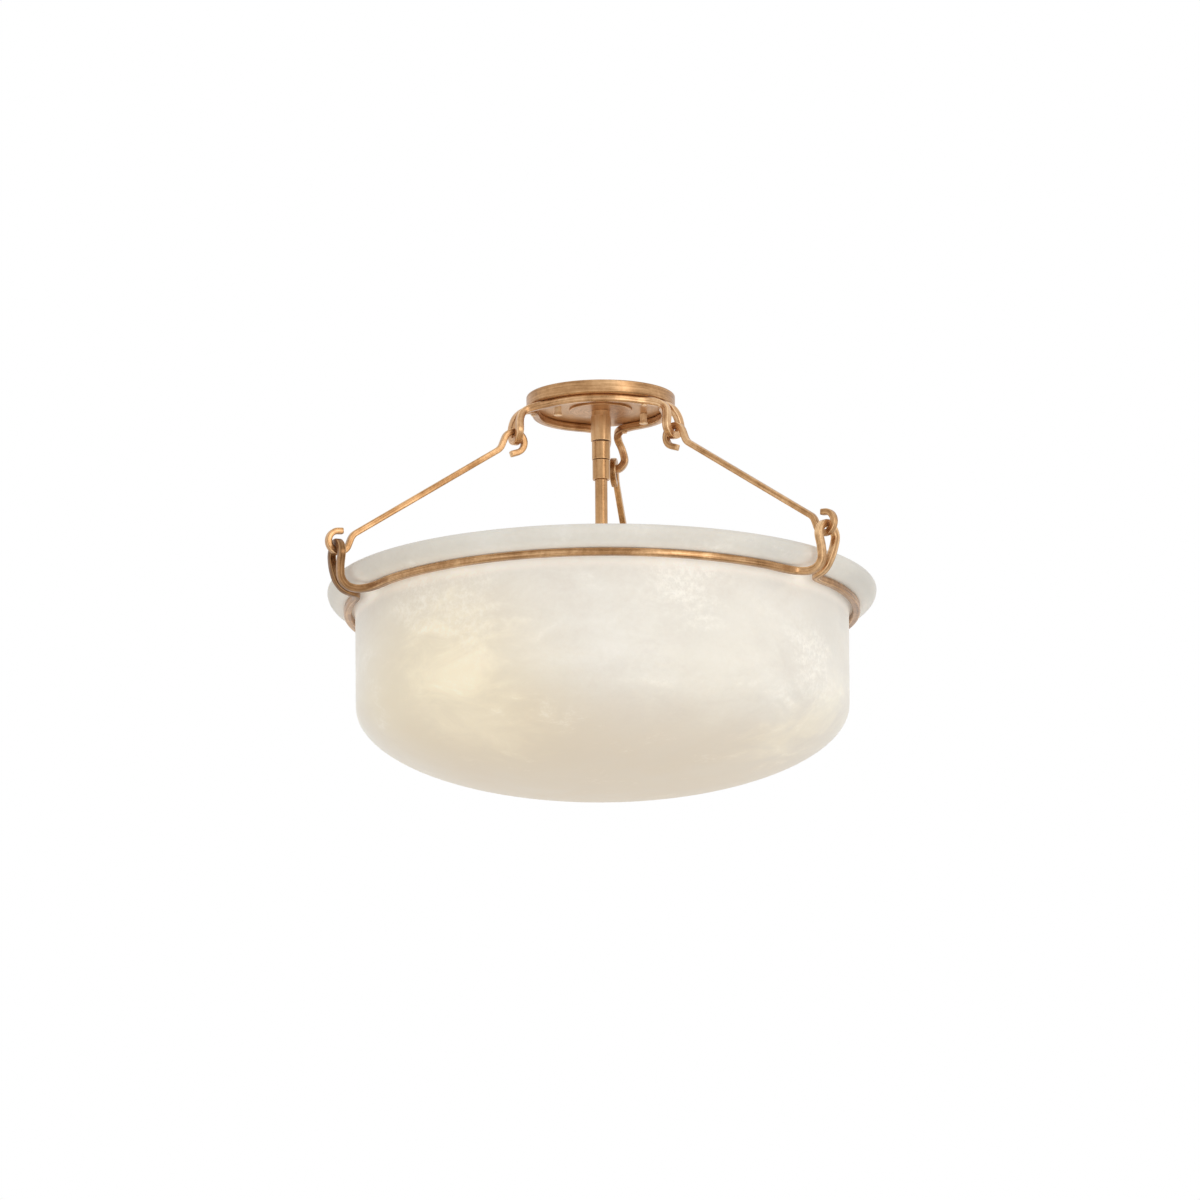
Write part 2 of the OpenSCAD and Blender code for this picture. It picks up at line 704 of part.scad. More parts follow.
module cover_screws() {
    color(dark_brass) at_posts() difference() {
        union() {
            translate([0, 0, hub_bottom - cover_t]) cylinder(h = cover_t + hub_h / 3, d = cover_screw_d);
            translate([0, 0, hub_bottom - cover_t - cover_head_h]) cylinder(h = cover_head_h, d = cover_head_d);
        }
        translate([-cover_head_d, -slot_size / 2, hub_bottom - cover_t - cover_head_h - eps])
            cube([2 * cover_head_d, slot_size, cover_head_h / 2]);
    }
}

module socket_arm(i) {
    color(brass) at_lamp(i) tube(arm_d, arm_bore, arm_start, arm_end - arm_start);
}

module lampholder(i) {
    color(dark_brass) at_lamp(i) difference() {
        rotate_extrude() polygon([
            [0, holder_start], [holder_d / 2 - 6, holder_start], [holder_d / 2 - 2, holder_start + 2],
            [holder_d / 2 - 0.6, holder_start + 6], [holder_d / 2 - 0.6, holder_start + holder_l - 3],
            [holder_d / 2, holder_start + holder_l - 2], [holder_d / 2, holder_start + holder_l],
            [0, holder_start + holder_l]
        ]);
        translate([0, 0, holder_start - eps]) cylinder(h = holder_l, d = arm_d + 2 * fit_gap);
        translate([0, 0, holder_start + holder_back_t]) cylinder(h = holder_l, d = holder_bore);
    }
}

module insulator(i) {
    color(porcelain) at_lamp(i) tube(shell_outer, rivet_d + 2 * fit_gap, insulator_start, insulator_t);
}

module centre_contact(i) {
    color(brass) at_lamp(i) {
        translate([0, 0, insulator_end]) cylinder(h = contact_t, d = contact_d);
        translate([0, 0, insulator_start]) cylinder(h = insulator_t + eps, d = rivet_d);
    }
}

module screw_shell(i) {
    color(brass) at_lamp(i) tube(shell_outer, shell_bore, shell_start, shell_end - shell_start);
}

module bulb_cap(i) {
    neck_r = cap_d / 2 - cap_t;
    color(steel) at_lamp(i) rotate_extrude() polygon([
        [0, cap_tip], [cap_tip_d / 2, cap_tip], [cap_tip_d / 2, cap_tip + cap_tip_h],
        [cap_d / 2 - 1, cap_tip + cap_tip_h + cap_cone_h], [cap_d / 2, cap_tip + cap_tip_h + cap_cone_h + 1],
        [cap_d / 2, cap_end], [neck_r, cap_end], [neck_r, cap_tip + cap_tip_h + cap_cone_h + 3],
        [0, cap_tip + cap_tip_h + cap_cone_h + 1]
    ]);
}

// Outline of a bulb's glass at a wall's distance inside it: neck, swelling shoulder, round end
function glass_line(in) =
    let (
        r = bulb_d / 2 - in,
        neck = cap_d / 2 - cap_t - fit_gap - in,
        middle = glass_end - bulb_d / 2,
        shoulder = glass_start + 10
    ) concat(
        [[neck, glass_start]],
        [for (k = [0:8]) let (s = (1 - cos(180 * k / 8)) / 2)
            [neck + (r * sin(80) - neck) * s, shoulder + (middle - r * cos(80) - shoulder) * k / 8]],
        [for (a = [90:10:180]) [r * sin(a), middle - r * cos(a)]]
    );

module bulb_glass(i) {
    color(milk_glass) at_lamp(i) rotate_extrude() polygon(concat(
        glass_line(0), [for (k = [len(glass_line(0)) - 1:-1:0]) glass_line(glass_t)[k]]
    ));
}

// One side of half a hook rod, from its tip to the bend at the straight stretch; side is 1 or -1. The
// lower half is drawn like an upper one and then turned over.
function rod_side(side, hook_end, tip_l) =
    let (
        shank = along(-shank_slope),
        straight = along(-rod_slope),
        start = upper_hook + hook_r * along(90 - shank_slope),
        d = rod_mid - start,
        // Length of shank up to where it would meet the straight stretch
        shank_l = (d.x * straight.y - d.y * straight.x) / (shank.x * straight.y - shank.y * straight.x),
        back = rod_bend_r * tan((shank_slope - rod_slope) / 2),
        bend = start + (shank_l - back) * shank + rod_bend_r * along(90 - shank_slope),
        ahead = along(hook_end + 90),
        tip = upper_hook + hook_r * along(hook_end) + tip_l * ahead,
        off = side * rod / 2
    ) concat(
        [tip + (off - side * tip_edge) * along(hook_end), tip + off * along(hook_end) - tip_edge * ahead],
        [for (k = [arc_n:-1:0]) let (a = 90 - shank_slope + (hook_end - 90 + shank_slope) * k / arc_n)
            upper_hook + (hook_r + off) * along(a)],
        [for (k = [0:4]) let (a = 270 - shank_slope + (shank_slope - rod_slope) * k / 4)
            bend + (rod_bend_r - off) * along(a)]
    );

function turned(points) = [for (q = points) 2 * rod_mid - q];
function backward(points) = [for (k = [len(points) - 1:-1:0]) points[k]];

module hook_rod(turn) {
    color(brass) rotate([90, 0, eye_angle + turn]) linear_extrude(rod, center = true) polygon(concat(
        rod_side(1, upper_hook_end, upper_tip_l),
        turned(backward(rod_side(-1, lower_hook_end, lower_tip_l))),
        turned(rod_side(1, lower_hook_end, lower_tip_l)),
        backward(rod_side(-1, upper_hook_end, upper_tip_l))
    ));
}

module hook_rod_back() {
    hook_rod(0);
}

module hook_rod_left() {
    hook_rod(120);
}

module hook_rod_right() {
    hook_rod(240);
}

module lower_ring() {
    color(brass) bent_ring(ring_places(
        lower_leg, lower_span, lower_eye_r - lower_ring_r, lower_eye_h, lower_eye_w,
        lower_ring_r, lower_ring_z, 1, lower_arc_steps
    ));
}

// Section of the bowl: curved bottom, wall, cove over the ring, flared lip, round edge, and back inside
function bowl_outline() =
    let (
        inner_r = wall_r - bowl_t,
        edge_in = lip_outer - 2 * lip_r,
        dish_r = flare_start - 6,
        dish_h = flare_h - bowl_t,
        shoulder_z = lip_z - dish_h
    ) concat(
        [for (a = [0:6:90]) [wall_r * sin(a), spring_z - bowl_dome_h * cos(a)]],
        [for (a = [0:15:90]) [wall_r + cove_w * (1 - cos(a)), bowl_seat - cove_h * (1 - sin(a))]],
        [for (a = [10:10:80]) [flare_start + (lip_outer - flare_start) * sin(a), lip_z - flare_h * cos(a)]],
        [for (a = [0:15:180]) [lip_outer - lip_r + lip_r * cos(a), lip_z + lip_r * sin(a)]],
        [for (a = [75:-15:0]) [dish_r + (edge_in - dish_r) * sin(a), lip_z - dish_h * cos(a)]],
        [for (a = [15:15:90]) [dish_r - (dish_r - inner_r) * sin(a), shoulder_z - shoulder_h * (1 - cos(a))]],
        [for (a = [90:-6:0]) [inner_r * sin(a), spring_z - (bowl_dome_h - bowl_t) * cos(a)]]
    );

module bowl() {
    color(stone) rotate_extrude() polygon(bowl_outline());
}

box_strap();
fixture_strap();
strap_eyelet();
ground_screw();
canopy_studs();
stud_lock_nuts();
canopy();
canopy_disc();
cap_nut_left();
cap_nut_right();
upper_ring();
ring_screws();
ring_screw_nuts();
stem_nipple();
lock_washer();
stem_nut();
swivel_neck();
swivel_cup();
swivel_liner();
swivel_ball();
swivel_sleeve();
stem_coupling();
stem_tube();
cluster_body();
cluster_cover();
cover_screws();
socket_arm(0);  // socket_arm_1
socket_arm(1);  // socket_arm_2
socket_arm(2);  // socket_arm_3
lampholder(0);  // lampholder_1
lampholder(1);  // lampholder_2
lampholder(2);  // lampholder_3
insulator(0);  // insulator_1
insulator(1);  // insulator_2
insulator(2);  // insulator_3
centre_contact(0);  // centre_contact_1
centre_contact(1);  // centre_contact_2
centre_contact(2);  // centre_contact_3
screw_shell(0);  // screw_shell_1
screw_shell(1);  // screw_shell_2
screw_shell(2);  // screw_shell_3
bulb_cap(0);  // bulb_cap_1
bulb_cap(1);  // bulb_cap_2
bulb_cap(2);  // bulb_cap_3
bulb_glass(0);  // bulb_glass_1
bulb_glass(1);  // bulb_glass_2
bulb_glass(2);  // bulb_glass_3
hook_rod_back();
hook_rod_left();
hook_rod_right();
lower_ring();
bowl();
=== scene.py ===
import math
from collections import namedtuple

import bpy
import numpy as np
from mathutils import Matrix, Vector


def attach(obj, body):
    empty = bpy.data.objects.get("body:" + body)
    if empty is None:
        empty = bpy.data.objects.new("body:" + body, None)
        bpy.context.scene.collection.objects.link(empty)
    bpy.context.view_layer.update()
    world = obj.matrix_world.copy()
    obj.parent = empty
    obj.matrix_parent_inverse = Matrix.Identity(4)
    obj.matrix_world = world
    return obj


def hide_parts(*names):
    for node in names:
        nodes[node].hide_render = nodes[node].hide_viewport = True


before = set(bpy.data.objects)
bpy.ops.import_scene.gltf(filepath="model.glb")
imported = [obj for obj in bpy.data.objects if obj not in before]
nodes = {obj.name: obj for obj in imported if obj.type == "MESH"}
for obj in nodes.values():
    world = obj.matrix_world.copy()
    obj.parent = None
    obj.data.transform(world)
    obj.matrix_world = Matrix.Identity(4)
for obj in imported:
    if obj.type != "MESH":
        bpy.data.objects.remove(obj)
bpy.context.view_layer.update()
MM = 0.001
# Faces that meet at more than this many degrees have a sharp edge between them
SHARP_ANGLE = 48

# Sizes repeated from part.scad, in millimetres and degrees.
# Directions of the three eyelets of each ring, seen from above, and the step between them
EYES, EYE_STEP = (82, 202, 322), 120
BAR, ROD = 7.5, 6.3
CANOPY_FACE, DISC_FACE, DISC_R = -13.5, -15.5, 32

# A bent ring: radius and height of its bar, reach, height and half width of its eyelets, half the
# length of ring that an eyelet takes, 1 for eyelets that stand up or -1 for hanging ones, steps in
# an arc between two eyelets, and the leg of an eyelet: shares of its span, reach and height
Ring = namedtuple("Ring", "r z eye_r eye_h eye_w span way arc_steps leg")
UPPER = Ring(65.55, -17.25, 93.25, 37.4, 11.1, 34, -1, 28, (
    (1, 0, 0), (0.76, 0.01, 0), (0.56, 0.05, 0.01), (0.38, 0.16, 0.02), (0.24, 0.35, 0.06),
    (0.165, 0.6, 0.15), (0.175, 0.82, 0.34), (0.26, 0.96, 0.64)))
LOWER = Ring(258.25, -223.7, 289.2, 47.2, 13.5, 50, 1, 60, (
    (1, 0, 0), (0.76, 0, -0.01), (0.52, 0.03, -0.02), (0.31, 0.14, -0.03), (0.17, 0.41, -0.03),
    (0.12, 0.71, 0.05), (0.12, 0.92, 0.27), (0.19, 1, 0.62)))

# Hook rods: radius of a hook, slopes of the straight stretch and the shank, radius of the bend
# between them, centres of the two hooks as (outward, up), and where each hook ends, with its tip
HOOK_R, ROD_SLOPE, SHANK_SLOPE, ROD_BEND = 10.9, 32.6, 68.0, 14.0
UPPER_HOOK, LOWER_HOOK = (95.070, -55.782), (287.150, -175.225)
UPPER_HOOK_END, UPPER_TIP, LOWER_HOOK_END, LOWER_TIP = 252.0, 7.5, 266.0, 5.5

# Stem, from the top down: radii and heights of its steps and of the bores in them
NIPPLE_HOLE_R, NIPPLE_BORE_R, NIPPLE_END = 5.1, 3.5, -27.0
NECK_R, SPIGOT_R, SPIGOT_END = 9.4, 9.1, -29.4
CUP_R, CUP_BORE_R, CUP_MOUTH_R, CUP_TOP, BALL_Z, CUP_BOTTOM = 10.1, 9.2, 6.3, -21.0, -38, -46.8
SLEEVE_R, SHANK_BORE_R, SLEEVE_TOP, SHANK_END, SLEEVE_BOTTOM = 9.25, 4.6, -47.8, -58.0, -66.2
COUPLING_R, COUPLING_TOP, COUPLING_BOTTOM = 8.75, -66.8, -87.0
TUBE_SEAT_R, TUBE_R, TUBE_BORE_R, TUBE_TOP, TUBE_BOTTOM = 6.45, 6.35, 5.15, -58.3, -267.0

# Worn edges, made here alone: their width on the rings and on the rods, and how much lighter each
# of the four edges is made, partly for rubbing and partly as a painted highlight. A ring is rubbed
# on its outer edges, a rod on all four
RING_EDGE, ROD_EDGE = 1.5, 1.1
RING_WEAR_AND_HIGHLIGHT, ROD_WEAR_AND_HIGHLIGHT, END_WEAR = (1, 0.55, 0.45, 0.6), (1, 1, 1, 1), 0.9
# Painted light on the underside, given as a lighter wear value: none on the upper ring's and
# rods' underside, and some on the lower ring's
NO_PAINTED_UNDERSIDE_LIGHT, PAINTED_UNDERSIDE_LIGHT = 0.0, 0.45


def rgb(r, g, b):
    """Colour from its 0-255 display values."""
    def linear(v):
        v /= 255
        return v / 12.92 if v <= 0.04045 else ((v + 0.055) / 1.055) ** 2.4
    return (linear(r), linear(g), linear(b), 1.0)


def along(angle):
    """Cosine and sine of an angle in degrees, which is the unit vector that way."""
    a = math.radians(angle)
    return np.array([math.cos(a), math.sin(a)])


# ---- materials -----------------------------------------------------------------------------------

class Graph:
    """Short ways to add shader nodes to one material."""

    def __init__(self, name):
        self.material = bpy.data.materials.new(name)
        self.material.use_nodes = True
        self.tree = self.material.node_tree
        self.tree.nodes.clear()
        self.out = self.add("ShaderNodeOutputMaterial")
        self.shader = self.add("ShaderNodeBsdfPrincipled")
        self.tree.links.new(self.shader.outputs[0], self.out.inputs["Surface"])

    def add(self, kind):
        return self.tree.nodes.new(kind)

    def put(self, socket, value):
        """Links another node's output to a socket, or sets a plain value on it."""
        if isinstance(value, bpy.types.NodeSocket):
            self.tree.links.new(value, socket)
        else:
            socket.default_value = value

    def set(self, **values):
        """Sets the main shader's inputs, named with _ for a space."""
        for name, value in values.items():
            self.put(self.shader.inputs[name.replace("_", " ")], value)

    def math(self, operation, a, b=0.0, c=0.0, clamp=False):
        n = self.add("ShaderNodeMath")
        n.operation, n.use_clamp = operation, clamp
        for socket, value in zip(n.inputs, (a, b, c)):
            self.put(socket, value)
        return n.outputs[0]

    def times(self, a, b, clamp=False):
        return self.math("MULTIPLY", a, b, clamp=clamp)

    def total(self, *terms, plus=0.0):
        """plus, and the sum of weight * value pairs."""
        out = plus
        for weight, value in terms:
            out = self.math("MULTIPLY_ADD", value, weight, out)
        return out

    def smooth(self, value, low, high):
        """0 up to low, 1 from high, and a smooth step between them."""
        n = self.add("ShaderNodeMapRange")
        n.interpolation_type = "SMOOTHSTEP"
        self.put(n.inputs["Value"], value)
        n.inputs["From Min"].default_value, n.inputs["From Max"].default_value = low, high
        return n.outputs[0]

    def fade(self, value, low, high):
        """1 up to low, 0 from high, and a smooth step between them."""
        return self.math("SUBTRACT", 1.0, self.smooth(value, low, high))

    def object_xyz(self):
        return self.add("ShaderNodeTexCoord").outputs["Object"]

    def split(self, vector):
        n = self.add("ShaderNodeSeparateXYZ")
        self.put(n.inputs[0], vector)
        return n.outputs

    def join(self, x, y, z=0.0):
        n = self.add("ShaderNodeCombineXYZ")
        for socket, value in zip(n.inputs, (x, y, z)):
            self.put(socket, value)
        return n.outputs[0]

    def uv(self):
        n = self.add("ShaderNodeUVMap")
        n.uv_map = "UVMap"
        return n.outputs[0]

    def attribute(self, name):
        n = self.add("ShaderNodeAttribute")
        n.attribute_name = name
        return n.outputs["Fac"]

    def distance(self, vector, point):
        n = self.add("ShaderNodeVectorMath")
        n.operation = "DISTANCE"
        self.put(n.inputs[0], vector)
        n.inputs[1].default_value = point
        return n.outputs["Value"]

    def noise(self, vector, scale, detail, rough=0.55, distort=0.0):
        n = self.add("ShaderNodeTexNoise")
        self.put(n.inputs["Vector"], vector)
        n.inputs["Scale"].default_value = scale
        n.inputs["Detail"].default_value = detail
        n.inputs["Roughness"].default_value = rough
        n.inputs["Distortion"].default_value = distort
        return n.outputs["Fac"]

    def cells(self, vector, scale):
        n = self.add("ShaderNodeTexVoronoi")
        self.put(n.inputs["Vector"], vector)
        n.inputs["Scale"].default_value = scale
        return n.outputs["Distance"]

    def ramp(self, value, *stops):
        """Colour ramp through (place, colour) stops."""
        n = self.add("ShaderNodeValToRGB")
        self.put(n.inputs[0], value)
        items = n.color_ramp.elements
        while len(items) < len(stops):
            items.new(0.5)
        for item, (place, colour) in zip(items, stops):
            item.position, item.color = place, colour
        return n.outputs[0]

    def mix(self, share, a, b):
        """Colour a where share is 0, b where it is 1."""
        n = self.add("ShaderNodeMix")
        n.data_type = "RGBA"
        # The Mix node has a set of inputs for each data type: 0 is the factor, 6 and 7 are colours
        for number, value in ((0, share), (6, a), (7, b)):
            self.put(n.inputs[number], value)
        return n.outputs[2]

    def bump(self, height, strength, distance):
        n = self.add("ShaderNodeBump")
        n.inputs["Strength"].default_value = strength
        n.inputs["Distance"].default_value = distance
        self.put(n.inputs["Height"], height)
        self.put(self.shader.inputs["Normal"], n.outputs[0])


def streak_vector(g, way, along_scale, across_scale):
    """Texture place that changes slowly along the brushing and fast across it.

    way is bar, along a bar; drawn, down a tube; turned, round the axis; or rubbed, every way."""
    if way in ("bar", "drawn"):
        u, v, _ = g.split(g.uv())
        if way == "bar":
            return g.join(g.times(u, along_scale), g.times(v, across_scale))
        return g.join(g.times(u, across_scale), g.times(v, along_scale))
    x, y, z = g.split(g.object_xyz())
    if way == "rubbed":
        return g.join(*[g.times(c, 0.3 * across_scale) for c in (x, y, z)])
    r = g.math("SQRT", g.math("ADD", g.times(x, x), g.times(y, y)))
    ring = g.times(g.math("ADD", r, z), across_scale)
    return g.join(*[g.times(g.math("DIVIDE", c, r), 0.2 * along_scale) for c in (x, y)], ring)


# Colour of the dirt in hollows of the brass
GRIME = rgb(96, 64, 38)


def brass(name, dark, mid, light, way="bar", rough=0.3, pattern=1.0, metallic=0.9, face=None,
          painted_light_and_shade=()):
    """Hand-rubbed brass with brushing, clouds and spots, grime in hollows and bright edges, partly
    rubbed and partly a painted highlight.

    pattern is how far its tone varies. face is the height in metres below which a flat face is
    painted brighter, as painted light. The last argument holds places in metres, each with its
    reach and how much lighter or darker the tone is painted there, as painted light and painted
    shade."""
    g = Graph(name)
    place = g.object_xyz()
    # The streak vectors hold the scale of the brushing, so their noise has a scale of 1
    fine = g.noise(streak_vector(g, way, along_scale=14, across_scale=1300), 1, 4, rough=0.65)
    broad = g.noise(streak_vector(g, way, along_scale=6, across_scale=380), 1, 4, rough=0.6)
    cloud = g.noise(place, 26, 4, rough=0.6, distort=0.4)
    spots = g.noise(place, 300, 4, rough=0.65)
    shares = (0.5, broad), (0.45, fine), (0.5, cloud), (0.18, spots)
    tone = g.total(*[(share * pattern, field) for share, field in shares])
    # Noise lies about 0.5, so the middle tone is at half of the shares
    middle = pattern * sum(share for share, _ in shares) / 2
    # Painted light and painted shade: the tone is raised or lowered round each given place
    for point, reach, shift in painted_light_and_shade:
        tone = g.total((shift, g.fade(g.distance(place, point), 0.3 * reach, reach)), plus=tone)
    colour = g.ramp(tone, (middle - 0.15, dark), (middle, mid), (middle + 0.17, light))

    # The attribute read here is above 0 on edges, lightened partly for rubbing and partly as a
    # painted highlight, and on the lower ring's underside, painted lighter as painted light; below
    # 0 in hollows
    edge = g.attribute("wear_and_painted_light")
    patchy = g.total((0.6, g.smooth(g.total((0.6, broad), (0.4, spots)), 0.34, 0.56)), plus=0.4)
    # Lighter edges are partly rubbing and partly a painted highlight; the lower ring's underside is
    # painted light
    worn = g.times(g.smooth(edge, 0.35, 1.0), patchy)
    colour = g.mix(g.times(worn, 0.75), colour, light)
    # Painted light: a flat face below the given height is painted brighter, towards the light
    # colour
    if face:
        below = g.fade(g.split(place)[2], face - 0.0002, face + 0.0004)
        colour = g.mix(g.times(below, 0.5), colour, light)
    hollow = g.smooth(g.times(edge, -1.0), 0.05, 1.0)
    colour = g.mix(g.times(hollow, 0.85), colour, GRIME)

    roughness = g.total((0.14, fine), (0.14, cloud), (-0.06, worn), plus=rough - 0.14)
    g.set(Base_Color=colour, Metallic=metallic, Specular_IOR_Level=0.4, Roughness=roughness)
    g.bump(g.total((0.5, fine), (0.3, broad), (0.2, spots)), 0.3, 0.00014)
    return g.material


def metal(name, dark, light, rough):
    """Plated or drawn metal of the hidden fittings: drawing marks, dull patches, darker specks."""
    g = Graph(name)
    place = g.object_xyz()
    cloud = g.noise(place, 60, 4, rough=0.6, distort=0.3)
    x, y, z = g.split(place)
    drawn = g.join(g.times(x, 90), g.times(y, 90), g.times(z, 1600))
    marks = g.noise(drawn, 1, 3, rough=0.6)
    specks = g.smooth(g.noise(place, 520, 2, rough=0.5), 0.62, 0.7)
    colour = g.ramp(g.total((0.6, cloud), (0.4, marks)), (0.35, dark), (0.62, light))
    colour = g.mix(g.times(specks, 0.35), colour, dark)
    roughness = g.total((0.25, cloud), (0.1, marks), plus=rough - 0.17)
    g.set(Base_Color=colour, Metallic=1.0, Roughness=roughness)
    g.bump(marks, 0.15, 0.00008)
    return g.material


def plain(name, dark, light, rough, scale=50, glow=None, strength=0.0):
    """Moulded, glazed or painted piece with a faint unevenness; one with a glow is lit as well."""
    g = Graph(name)
    place = g.object_xyz()
    cloud = g.noise(place, scale, 4, rough=0.6, distort=0.3)
    grain = g.noise(place, scale * 14, 2, rough=0.5)
    colour = g.ramp(g.total((0.7, cloud), (0.3, grain)), (0.35, dark), (0.62, light))
    g.set(Base_Color=colour, Roughness=g.total((0.2, cloud), plus=rough - 0.1))
    g.bump(grain, 0.1, 0.00006)
    if glow:
        g.set(Emission_Color=g.ramp(cloud, (0.3, glow[0]), (0.7, glow[1])),
              Emission_Strength=strength)
    return g.material


# Where the stone glows from a lamp, where it is milkier and where it is duller: place and reach in
# metres, strength
GLOW = (((-0.152, -0.199, -0.326), 0.1, 1.0), ((-0.122, -0.140, -0.378), 0.1, 0.6),
        ((0.118, -0.221, -0.330), 0.12, 0.2), ((0.202, -0.065, -0.366), 0.09, 0.5),
        ((0.03, 0.245, -0.31), 0.13, 0.6))
MILKY = (((0.089, -0.234, -0.252), 0.06, 0.8), ((0.209, -0.138, -0.313), 0.055, 0.9),
         ((-0.139, -0.208, -0.272), 0.07, 0.5), ((-0.182, -0.172, -0.245), 0.05, 0.6),
         ((0.16, 0.19, -0.28), 0.07, 0.8), ((-0.24, 0.06, -0.29), 0.07, 0.8))
# Painted shade: places on the right of the lip and of the wall, made darker and greyer
PAINTED_SHADE_PLACES = (((0.262, -0.075, -0.208), 0.085, 0.9), ((0.185, -0.195, -0.212), 0.05, 0.6),
        ((0.235, -0.105, -0.25), 0.07, 0.4), ((0.1, -0.23, -0.29), 0.06, 0.3))
LEFT_LAMP = (-0.155, -0.15, -0.37)
# Height of the bowl's thin cove, which shows under the lower ring, and the radius and height of
# the place on the lip behind an eyelet: there painted light fills the shade of the ring and eyelets
COVE_Z, BEHIND_R, BEHIND_Z = -0.2262, 0.268, -0.212
# Colours of the stone from its darker to its lighter clouds, and what the places are mixed with
CLOUDS = (0.34, rgb(222, 215, 204)), (0.5, rgb(230, 225, 215)), (0.66, rgb(237, 233, 225))
PAINTED_SHADE_TONE, WARM_TONE, LOW_TONE = rgb(206, 202, 194), rgb(229, 216, 189), rgb(220, 205, 182)
GLOW_TONE, MILKY_TONE = rgb(247, 236, 208), rgb(251, 246, 236)


def alabaster(name):
    """Clouded stone that passes some of the lamps' light: warm near a lamp, cool and milky away."""
    g = Graph(name)
    place = g.object_xyz()
    x, y, z = g.split(place)
    # The clouds are nearly twice as wide as they are high
    flat = g.join(x, y, g.times(z, 1.9))
    drift = g.noise(flat, 5, 4, distort=0.5)
    cloud = g.noise(flat, 19, 7, rough=0.64, distort=0.5)
    grain = g.noise(place, 170, 4, rough=0.7)
    speck = g.cells(place, 430)

    def patches(spots, inner):
        """Soft fields round the named places, with edges broken up by the clouds."""
        out = 0.0
        for point, reach, strength in spots:
            away = g.total((1.0, g.distance(place, point)), (-0.16, cloud), plus=0.08)
            out = g.math("MAXIMUM", out, g.times(g.fade(away, inner * reach, reach), strength))
        return out

    glow = patches(GLOW, 0.0)
    milky = patches(MILKY, 0.1)
    painted_shade = patches(PAINTED_SHADE_PLACES, 0.2)
    warm = g.fade(g.distance(place, LEFT_LAMP), 0.06, 0.2)
    # Darker and warmer towards the bottom: partly the stone's colour, partly painted shade on the
    # down-facing bottom
    low = g.fade(g.total((0.03, drift), plus=z), -0.392, -0.325)
    sparkle = g.total((0.8, g.smooth(grain, 0.4, 0.66)), (0.25, g.smooth(speck, 0.35, 0.75)))
    milky = g.math("MAXIMUM", milky, g.times(g.smooth(cloud, 0.56, 0.72), 0.5))

    stone = g.ramp(g.total((0.4, drift), (0.4, cloud), (0.2, grain)), *CLOUDS)
    # Painted shade at the places listed
    stone = g.mix(g.times(painted_shade, 0.6), stone, PAINTED_SHADE_TONE)
    stone = g.mix(g.times(warm, 0.8), stone, WARM_TONE)
    stone = g.mix(g.times(low, g.total((0.5, cloud), plus=0.5)), stone, LOW_TONE)
    stone = g.mix(g.times(glow, g.total((0.8, cloud), plus=0.1), clamp=True), stone, GLOW_TONE)
    stone = g.mix(g.times(milky, g.times(sparkle, 0.75), clamp=True), stone, MILKY_TONE)

    # Painted light: the stone glows of itself, evenly over the wall and more by a lamp, standing
    # for the lamps' light through it, and more in the cove and on the lip behind each eyelet, where
    # it fills the shade of the ring and the eyelets
    cove_painted_light = g.fade(g.math("ABSOLUTE", g.math("ADD", z, -COVE_Z)), 0.002, 0.014)
    wall = g.fade(z, -0.232, -0.218)
    eyelet_painted_light = 0.0
    for eye in EYES:
        away = g.distance(place, (*BEHIND_R * along(eye), BEHIND_Z))
        eyelet_painted_light = g.math("MAXIMUM", eyelet_painted_light, g.fade(away, 0.006, 0.04))
    light = g.total((0.24, cove_painted_light), (0.05, glow), (0.13, wall), (0.2, eyelet_painted_light))

    g.set(Base_Color=stone, Metallic=0.0, Specular_IOR_Level=0.3,
          Roughness=g.total((0.22, grain), (0.12, cloud), plus=0.34),
          Subsurface_Weight=0.25, Subsurface_Radius=(1.0, 0.9, 0.75), Subsurface_Scale=0.008,
          Emission_Color=stone, Emission_Strength=light)
    g.bump(g.total((0.7, grain), (0.3, cloud)), 0.06, 0.0003)
    return g.material


# The places given to the rods, the rings and the canopy are painted light and painted shade:
# lighter on the right, on the back rod and on the canopy's front, darker on the left. The canopy's
# flat underside is painted brighter too
worn_brass = brass(
    "worn_brass", rgb(134, 95, 58), rgb(182, 139, 95), rgb(232, 192, 146),
    painted_light_and_shade=(((-0.18, -0.073, -0.115), 0.13, -0.035), ((0.027, 0.189, -0.115), 0.14, 0.06)))
ring_brass = brass(
    "ring_brass", rgb(150, 110, 72), rgb(198, 154, 110), rgb(240, 202, 158),
    painted_light_and_shade=(((0.055, -0.045, -0.017), 0.035, 0.08), ((-0.055, -0.045, -0.017), 0.035, -0.04)))
dark_brass = brass(
    "dark_brass", rgb(114, 80, 48), rgb(168, 126, 85), rgb(242, 202, 154), pattern=0.85,
    painted_light_and_shade=(((-0.264, -0.107, -0.2), 0.08, -0.09), ((0.225, -0.176, -0.19), 0.06, 0.08)))
# A lighter copy of the drawn brass: painted light on the neck and the cup, in the canopy's shade
painted_light_neck_brass = brass(
    "painted_light_neck_brass", rgb(180, 136, 92), rgb(216, 172, 122), rgb(240, 202, 156),
    way="drawn", rough=0.34, pattern=0.8, metallic=0.6)
drawn_brass = brass(
    "drawn_brass", rgb(152, 112, 72), rgb(188, 145, 100), rgb(218, 178, 132),
    way="drawn", pattern=0.8)
pressed_brass = brass(
    "pressed_brass", rgb(140, 102, 66), rgb(180, 137, 94), rgb(222, 180, 134),
    way="turned", rough=0.34, pattern=0.95, face=-0.0131,
    painted_light_and_shade=(((0.0, -0.0755, -0.006), 0.045, 0.07),))
disc_brass = brass(
    "disc_brass", rgb(150, 108, 70), rgb(190, 146, 102), rgb(222, 180, 136),
    way="turned", rough=0.34, pattern=0.95)
